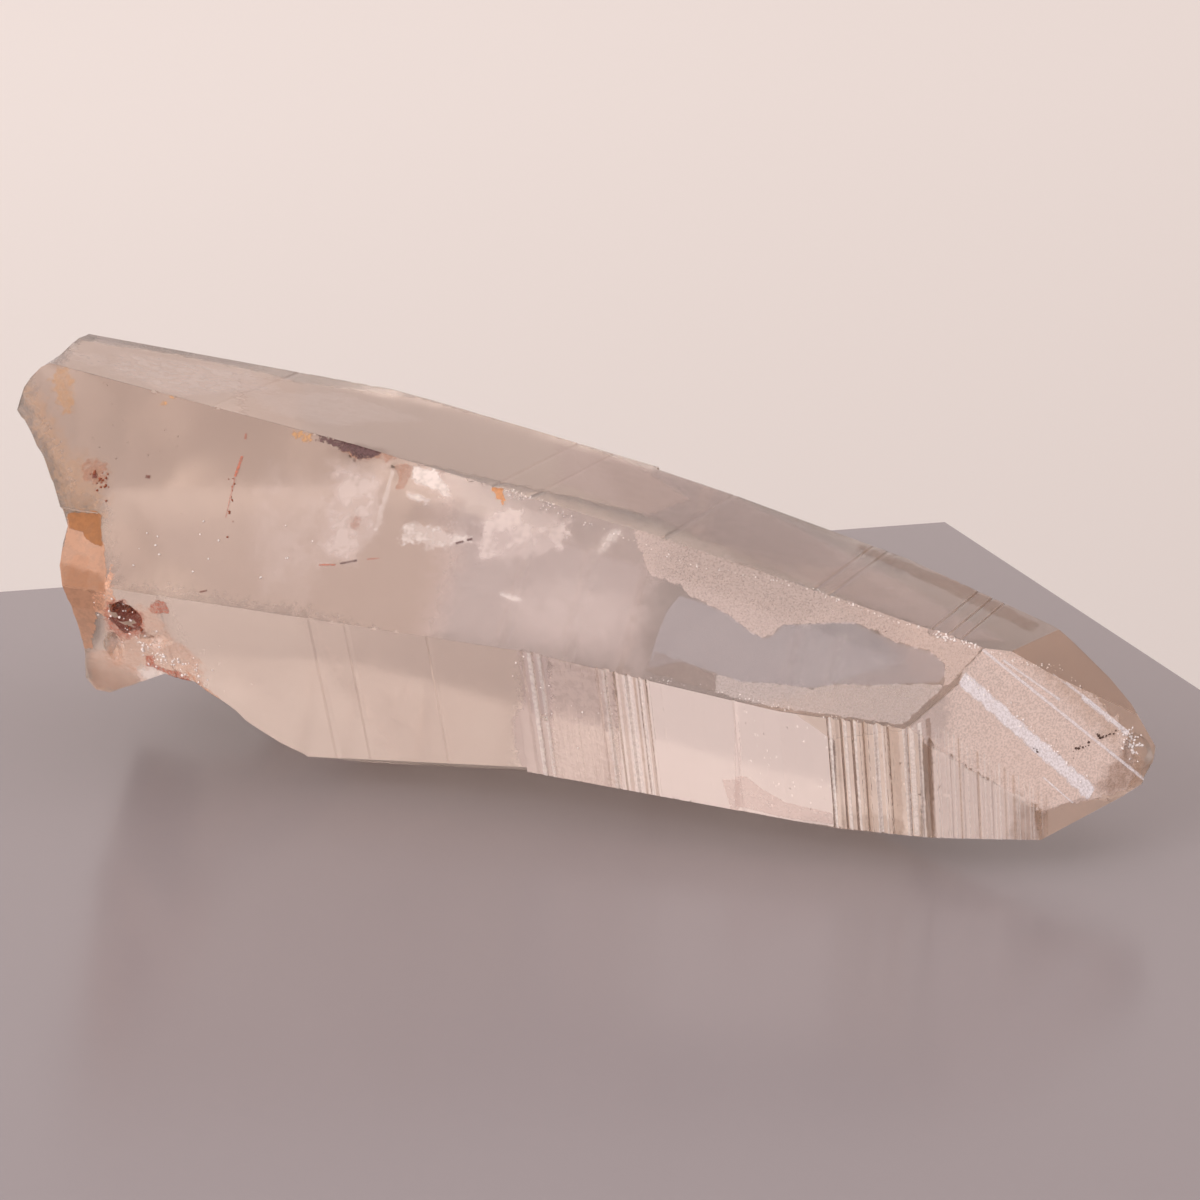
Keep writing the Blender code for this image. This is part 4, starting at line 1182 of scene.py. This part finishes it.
def film_material(name, tone):
    """Film of one tone whose alpha fades at a ragged rim and breaks into grains."""
    made, tree, shader, _ = new_material(name)
    shader.inputs["Base Color"].default_value = (*linear(tone.colour), 1.0)
    shader.inputs["Roughness"].default_value = FILM_ROUGHNESS
    rough_rim = add_math(tree, "SUBTRACT", add_noise(tree, RIM_NOISE_SIZE, 2.0, 0.68), 0.5)
    rough_rim = add_math(tree, "MULTIPLY", rough_rim, attribute(tree, "ragged").outputs["Fac"])
    rough_rim = add_math(tree, "MULTIPLY", rough_rim, 3.0)
    rim = add_math(tree, "ADD", attribute(tree, "edge").outputs["Fac"], rough_rim)
    rim = add_math(tree, "DIVIDE", rim, attribute(tree, "soft").outputs["Fac"])
    cover = add_ramp(tree, rim, -1.0, 1.0)
    grain = 1.0 - tone.grain / 2.0
    if tone.grain > FAINT_GRAIN:
        grain = add_ramp(tree, add_noise(tree, tone.grain_size, 2.0, 0.7), 0.36, 0.62, 1.0 - tone.grain, 1.0)
    alpha = add_math(tree, "MULTIPLY", cover, grain)
    alpha = add_math(tree, "MULTIPLY", alpha, attribute(tree, "strength").outputs["Fac"])
    strength = bpy.context.scene.quartz_settings.film.strength
    tree.links.new(add_math(tree, "MULTIPLY", alpha, strength, clamp=True), shader.inputs["Alpha"])
    return made


class QUARTZ_OT_films(Operator):
    """Lay frost, milk, growth stripes, iron stains, and hazes of painted light and shade in the skin"""

    bl_idname = "quartz.films"
    bl_label = "Frost, stripes and stains"

    def execute(self, context):
        skin = read_skin()
        tree = BVHTree.FromPolygons(skin[0].tolist(), skin[1].tolist())
        streaks = [stripe_streak(stripe) for stripe in (*STRIPES, *fine_stripes())] + list(STREAKS)
        joined = {name: bmesh.new() for name in TONES}
        for index, film in enumerate((*FILMS, *streaks)):
            rise = FILM_STEP * index - TONES[film.tone].depth
            if isinstance(film, Film):
                patch = film_patch(skin, film, rise)
            else:
                patch = streak_patch(tree, film, rise)
            held = bpy.data.meshes.new("patch")
            patch.to_mesh(held)
            patch.free()
            joined[film.tone].from_mesh(held)
            bpy.data.meshes.remove(held)
        for name, bm in joined.items():
            if bm.faces:
                material = film_material(name + " film", TONES[name])
                make_object(name.replace(" ", "_") + "_film", bm, material)
        return {"FINISHED"}


# ---------------------------------------------------------------- grains
def grain_material(name, colour, roughness):
    """Material of the small grains: white chips that paint glints of light, and dark specks."""
    made, tree, shader, _ = new_material(name)
    shader.inputs["Roughness"].default_value = roughness
    shade = add_ramp(tree, add_noise(tree, 0.5, 2.0, 0.5), 0.3, 0.7, 0.8, 1.0)
    mixed = add_mix(tree, shade, (0.0, 0.0, 0.0), linear(colour))
    tree.links.new(mixed, shader.inputs["Base Color"])
    return made


def scatter_spots(scatter, chance):
    """Random spots along a scatter's path, as (along, across) of its face."""
    path = [Vector(spot) for spot in scatter.path]
    for _ in range(scatter.count):
        part = chance.uniform(0.0, len(path) - 1.001)
        spot = path[int(part)].lerp(path[int(part) + 1], part % 1.0)
        yield spot + Vector((chance.gauss(0.0, 0.4), chance.gauss(0.0, 0.4))) * scatter.spread


def add_grain(bm, middle, size, chance):
    """Small angular grain around a place in millimetres, kept inside the crystal's box."""
    turn = Euler([chance.uniform(0.0, math.tau) for _ in range(3)]).to_matrix().to_4x4()
    stretch = Matrix.Diagonal([chance.uniform(0.5, 1.0) for _ in range(3)] + [1.0])
    made = bmesh.ops.create_icosphere(bm, subdivisions=1, radius=size / 2.0, matrix=turn @ stretch)
    for vert in made["verts"]:
        vert.co = inside_box((vert.co + middle) * MM)


class QUARTZ_OT_grains(Operator):
    """Scatter white chips that paint glints of light along the edges, and dark specks on the faces"""

    bl_idname = "quartz.grains"
    bl_label = "Painted glints and specks"

    def execute(self, context):
        chance = random.Random(NOISE_SEED)
        places, corners, _ = read_skin()
        tree = BVHTree.FromPolygons(places.tolist(), corners.tolist())
        joined = {kind: bmesh.new() for kind in GRAIN_TONES}
        for scatter in SCATTERS:
            matrix = face_matrix(scatter.face)
            normal = face_normal(FACES[scatter.face])
            for spot in scatter_spots(scatter, chance):
                high = matrix @ Vector((spot.x, spot.y, GRAIN_REACH))
                found = tree.ray_cast(high, -normal, 2.0 * GRAIN_REACH)[0]
                if found is not None:
                    size = scatter.size * chance.uniform(0.4, 1.0)
                    add_grain(joined[scatter.kind], found + normal * size * GRAIN_SINK, size, chance)
        for kind, bm in joined.items():
            make_object(kind.replace(" ", "_") + "s", bm, grain_material(kind, *GRAIN_TONES[kind]))
        return {"FINISHED"}


# ---------------------------------------------------------------- veils inside
def veil_material():
    """Milky fracture veil, thin at its rim."""
    settings = bpy.context.scene.quartz_settings.veil
    made, tree, shader, _ = new_material("milky veil")
    fade = attribute(tree, "fade")
    strength = attribute(tree, "strength")
    wisps = add_ramp(tree, add_noise(tree, 1.6, 5.0, 0.65), 0.35, 0.62, 0.15, 1.0)
    cover = add_math(tree, "MULTIPLY", fade.outputs["Fac"], wisps)
    tree.links.new(
        add_math(tree, "MULTIPLY", cover, strength.outputs["Fac"], clamp=True), shader.inputs["Alpha"],
    )
    shader.inputs["Base Color"].default_value = (*settings.colour, 1.0)
    shader.inputs["Roughness"].default_value = 0.6
    return made


def veil_matrix(veil):
    """Place and turns of a veil below its face, in millimetres."""
    place = face_matrix(veil.face) @ Matrix.Translation((veil.along, veil.across, -veil.depth))
    for angle, axis in ((veil.turn, "Z"), (veil.roll, "X"), (veil.pitch, "Y")):
        place = place @ Matrix.Rotation(math.radians(angle), 4, axis)
    return place


def add_veil(bm, layers, veil, count):
    """Wavy sheet with an uneven rim."""
    place = veil_matrix(veil)
    rows = []
    for i in range(count + 1):
        row = []
        for j in range(count + 1):
            u, v = 2.0 * i / count - 1.0, 2.0 * j / count - 1.0
            spot = Vector((u * veil.length, v * veil.width, 0.0))
            spot.z = VEIL_WAVE * noise.noise(spot / 2.0 + Vector((veil.along, 0.0, 0.0)))
            vert = bm.verts.new((place @ spot) * MM)
            edge = noise.noise(Vector((u * 2.0, v * 2.0, veil.along)))
            vert[layers[0]] = min(1.0, max(0.0, (1.0 - math.hypot(u, v) + 0.25 * edge) * 1.3))
            vert[layers[1]] = veil.strength
            row.append(vert)
        rows.append(row)
    for first, second in zip(rows, rows[1:]):
        for j in range(count):
            bm.faces.new((first[j], second[j], second[j + 1], first[j + 1])).smooth = True


class QUARTZ_OT_veils(Operator):
    """Hang the milky veils inside the crystal"""

    bl_idname = "quartz.veils"
    bl_label = "Milky veils"

    def execute(self, context):
        bm = bmesh.new()
        layers = [bm.verts.layers.float.new(name) for name in ("fade", "strength")]
        for veil in VEILS:
            add_veil(bm, layers, veil, context.scene.quartz_settings.veil.divisions)
        make_object("milky_veils", bm, veil_material())
        return {"FINISHED"}


# ---------------------------------------------------------------- stage
def add_camera():
    """Camera on a long lens, looking slightly down at the crystal."""
    settings = bpy.context.scene.quartz_settings.stage
    turn, lift, roll = (math.radians(value) for value in CAMERA_ANGLES)
    away = Vector((math.sin(turn) * math.cos(lift), -math.cos(turn) * math.cos(lift), math.sin(lift)))
    right = (-away).cross(Vector((0.0, 0.0, 1.0))).normalized()
    up = right.cross(-away)
    side = right * math.cos(roll) + up * math.sin(roll)
    top = up * math.cos(roll) - right * math.sin(roll)
    data = bpy.data.cameras.new("camera")
    data.lens = settings.lens
    data.sensor_width = 36.0
    data.clip_start = 0.01
    data.clip_end = 50.0
    made = bpy.data.objects.new("camera", data)
    bpy.context.scene.collection.objects.link(made)
    matrix = Matrix((side, top, away)).transposed().to_4x4()
    matrix.translation = (Vector(CAMERA_AIM) + away * CAMERA_DISTANCE) * MM
    made.matrix_world = matrix
    bpy.context.scene.camera = made


def add_soft_light(name, place, size, power, colour):
    """Large square lamp aimed at the crystal."""
    data = bpy.data.lights.new(name, "AREA")
    data.energy = power
    data.size = size
    data.color = colour
    made = bpy.data.objects.new(name, data)
    bpy.context.scene.collection.objects.link(made)
    made.location = place
    made.rotation_euler = (Vector(LIGHT_AIM) - Vector(place)).to_track_quat("-Z", "Y").to_euler()


def add_stage_plane(name, colour, roughness, corners):
    """Large plain sheet of the stage."""
    material, _, shader, _ = new_material(name)
    shader.inputs["Base Color"].default_value = (*colour, 1.0)
    shader.inputs["Roughness"].default_value = roughness
    bm = bmesh.new()
    bm.faces.new([bm.verts.new(corner) for corner in corners])
    make_object(name, bm, material, ridden=False)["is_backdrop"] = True


class QUARTZ_OT_stage(Operator):
    """Set up the camera, the pale floor and the soft light"""

    bl_idname = "quartz.stage"
    bl_label = "Camera, floor and light"

    def execute(self, context):
        settings = context.scene.quartz_settings.stage
        add_camera()
        add_stage_plane("floor", settings.floor_colour, 0.22, FLOOR_CORNERS)
        add_stage_plane("backdrop", settings.wall_colour, 0.6, WALL_CORNERS)
        world = bpy.data.worlds.new("room")
        world.use_nodes = True
        shade = world.node_tree.nodes["Background"]
        shade.inputs["Color"].default_value = (*settings.sky_colour, 1.0)
        shade.inputs["Strength"].default_value = settings.sky_strength
        context.scene.world = world
        add_soft_light("key light", KEY_PLACE, 0.7, settings.key_power, (1.0, 0.96, 0.93))
        context.scene.view_settings.view_transform = "Standard"
        return {"FINISHED"}


# ---------------------------------------------------------------- panel and start
class QUARTZ_PT_panel(Panel):
    """Lists the steps that build the quartz point"""

    bl_label = "Quartz point"
    bl_idname = "QUARTZ_PT_panel"
    bl_space_type = "VIEW_3D"
    bl_region_type = "UI"
    bl_category = "Quartz"

    def draw(self, context):
        for step in STEPS:
            self.layout.operator(step.bl_idname)
        for group in ("crystal", "film", "veil", "stage"):
            box = self.layout.box()
            values = getattr(context.scene.quartz_settings, group)
            for key in values.__annotations__:
                box.prop(values, key)


STEPS = (QUARTZ_OT_stage, QUARTZ_OT_crystal, QUARTZ_OT_films, QUARTZ_OT_grains, QUARTZ_OT_veils)
CLASSES = (
    QuartzCrystalSettings, QuartzFilmSettings, QuartzVeilSettings,
    QuartzStageSettings, QuartzSettings, *STEPS, QUARTZ_PT_panel,
)


def register():
    """Register the classes and the settings."""
    for item in CLASSES:
        bpy.utils.register_class(item)
    bpy.types.Scene.quartz_settings = PointerProperty(
        name="Quartz point", description="Settings of the quartz point", type=QuartzSettings,
    )


def unregister():
    """Remove the settings and the classes."""
    del bpy.types.Scene.quartz_settings
    for item in reversed(CLASSES):
        bpy.utils.unregister_class(item)


def main():
    """Build every piece in order."""
    register()
    noise.seed_set(NOISE_SEED)
    bpy.ops.quartz.stage()
    bpy.ops.quartz.crystal()
    bpy.ops.quartz.films()
    bpy.ops.quartz.grains()
    bpy.ops.quartz.veils()
    boxes = {"cad": CAD_BOX, "visual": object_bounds()}
    sizes = {name: [list(corner) for corner in box] for name, box in boxes.items()}


if __name__ == "__main__":
    main()
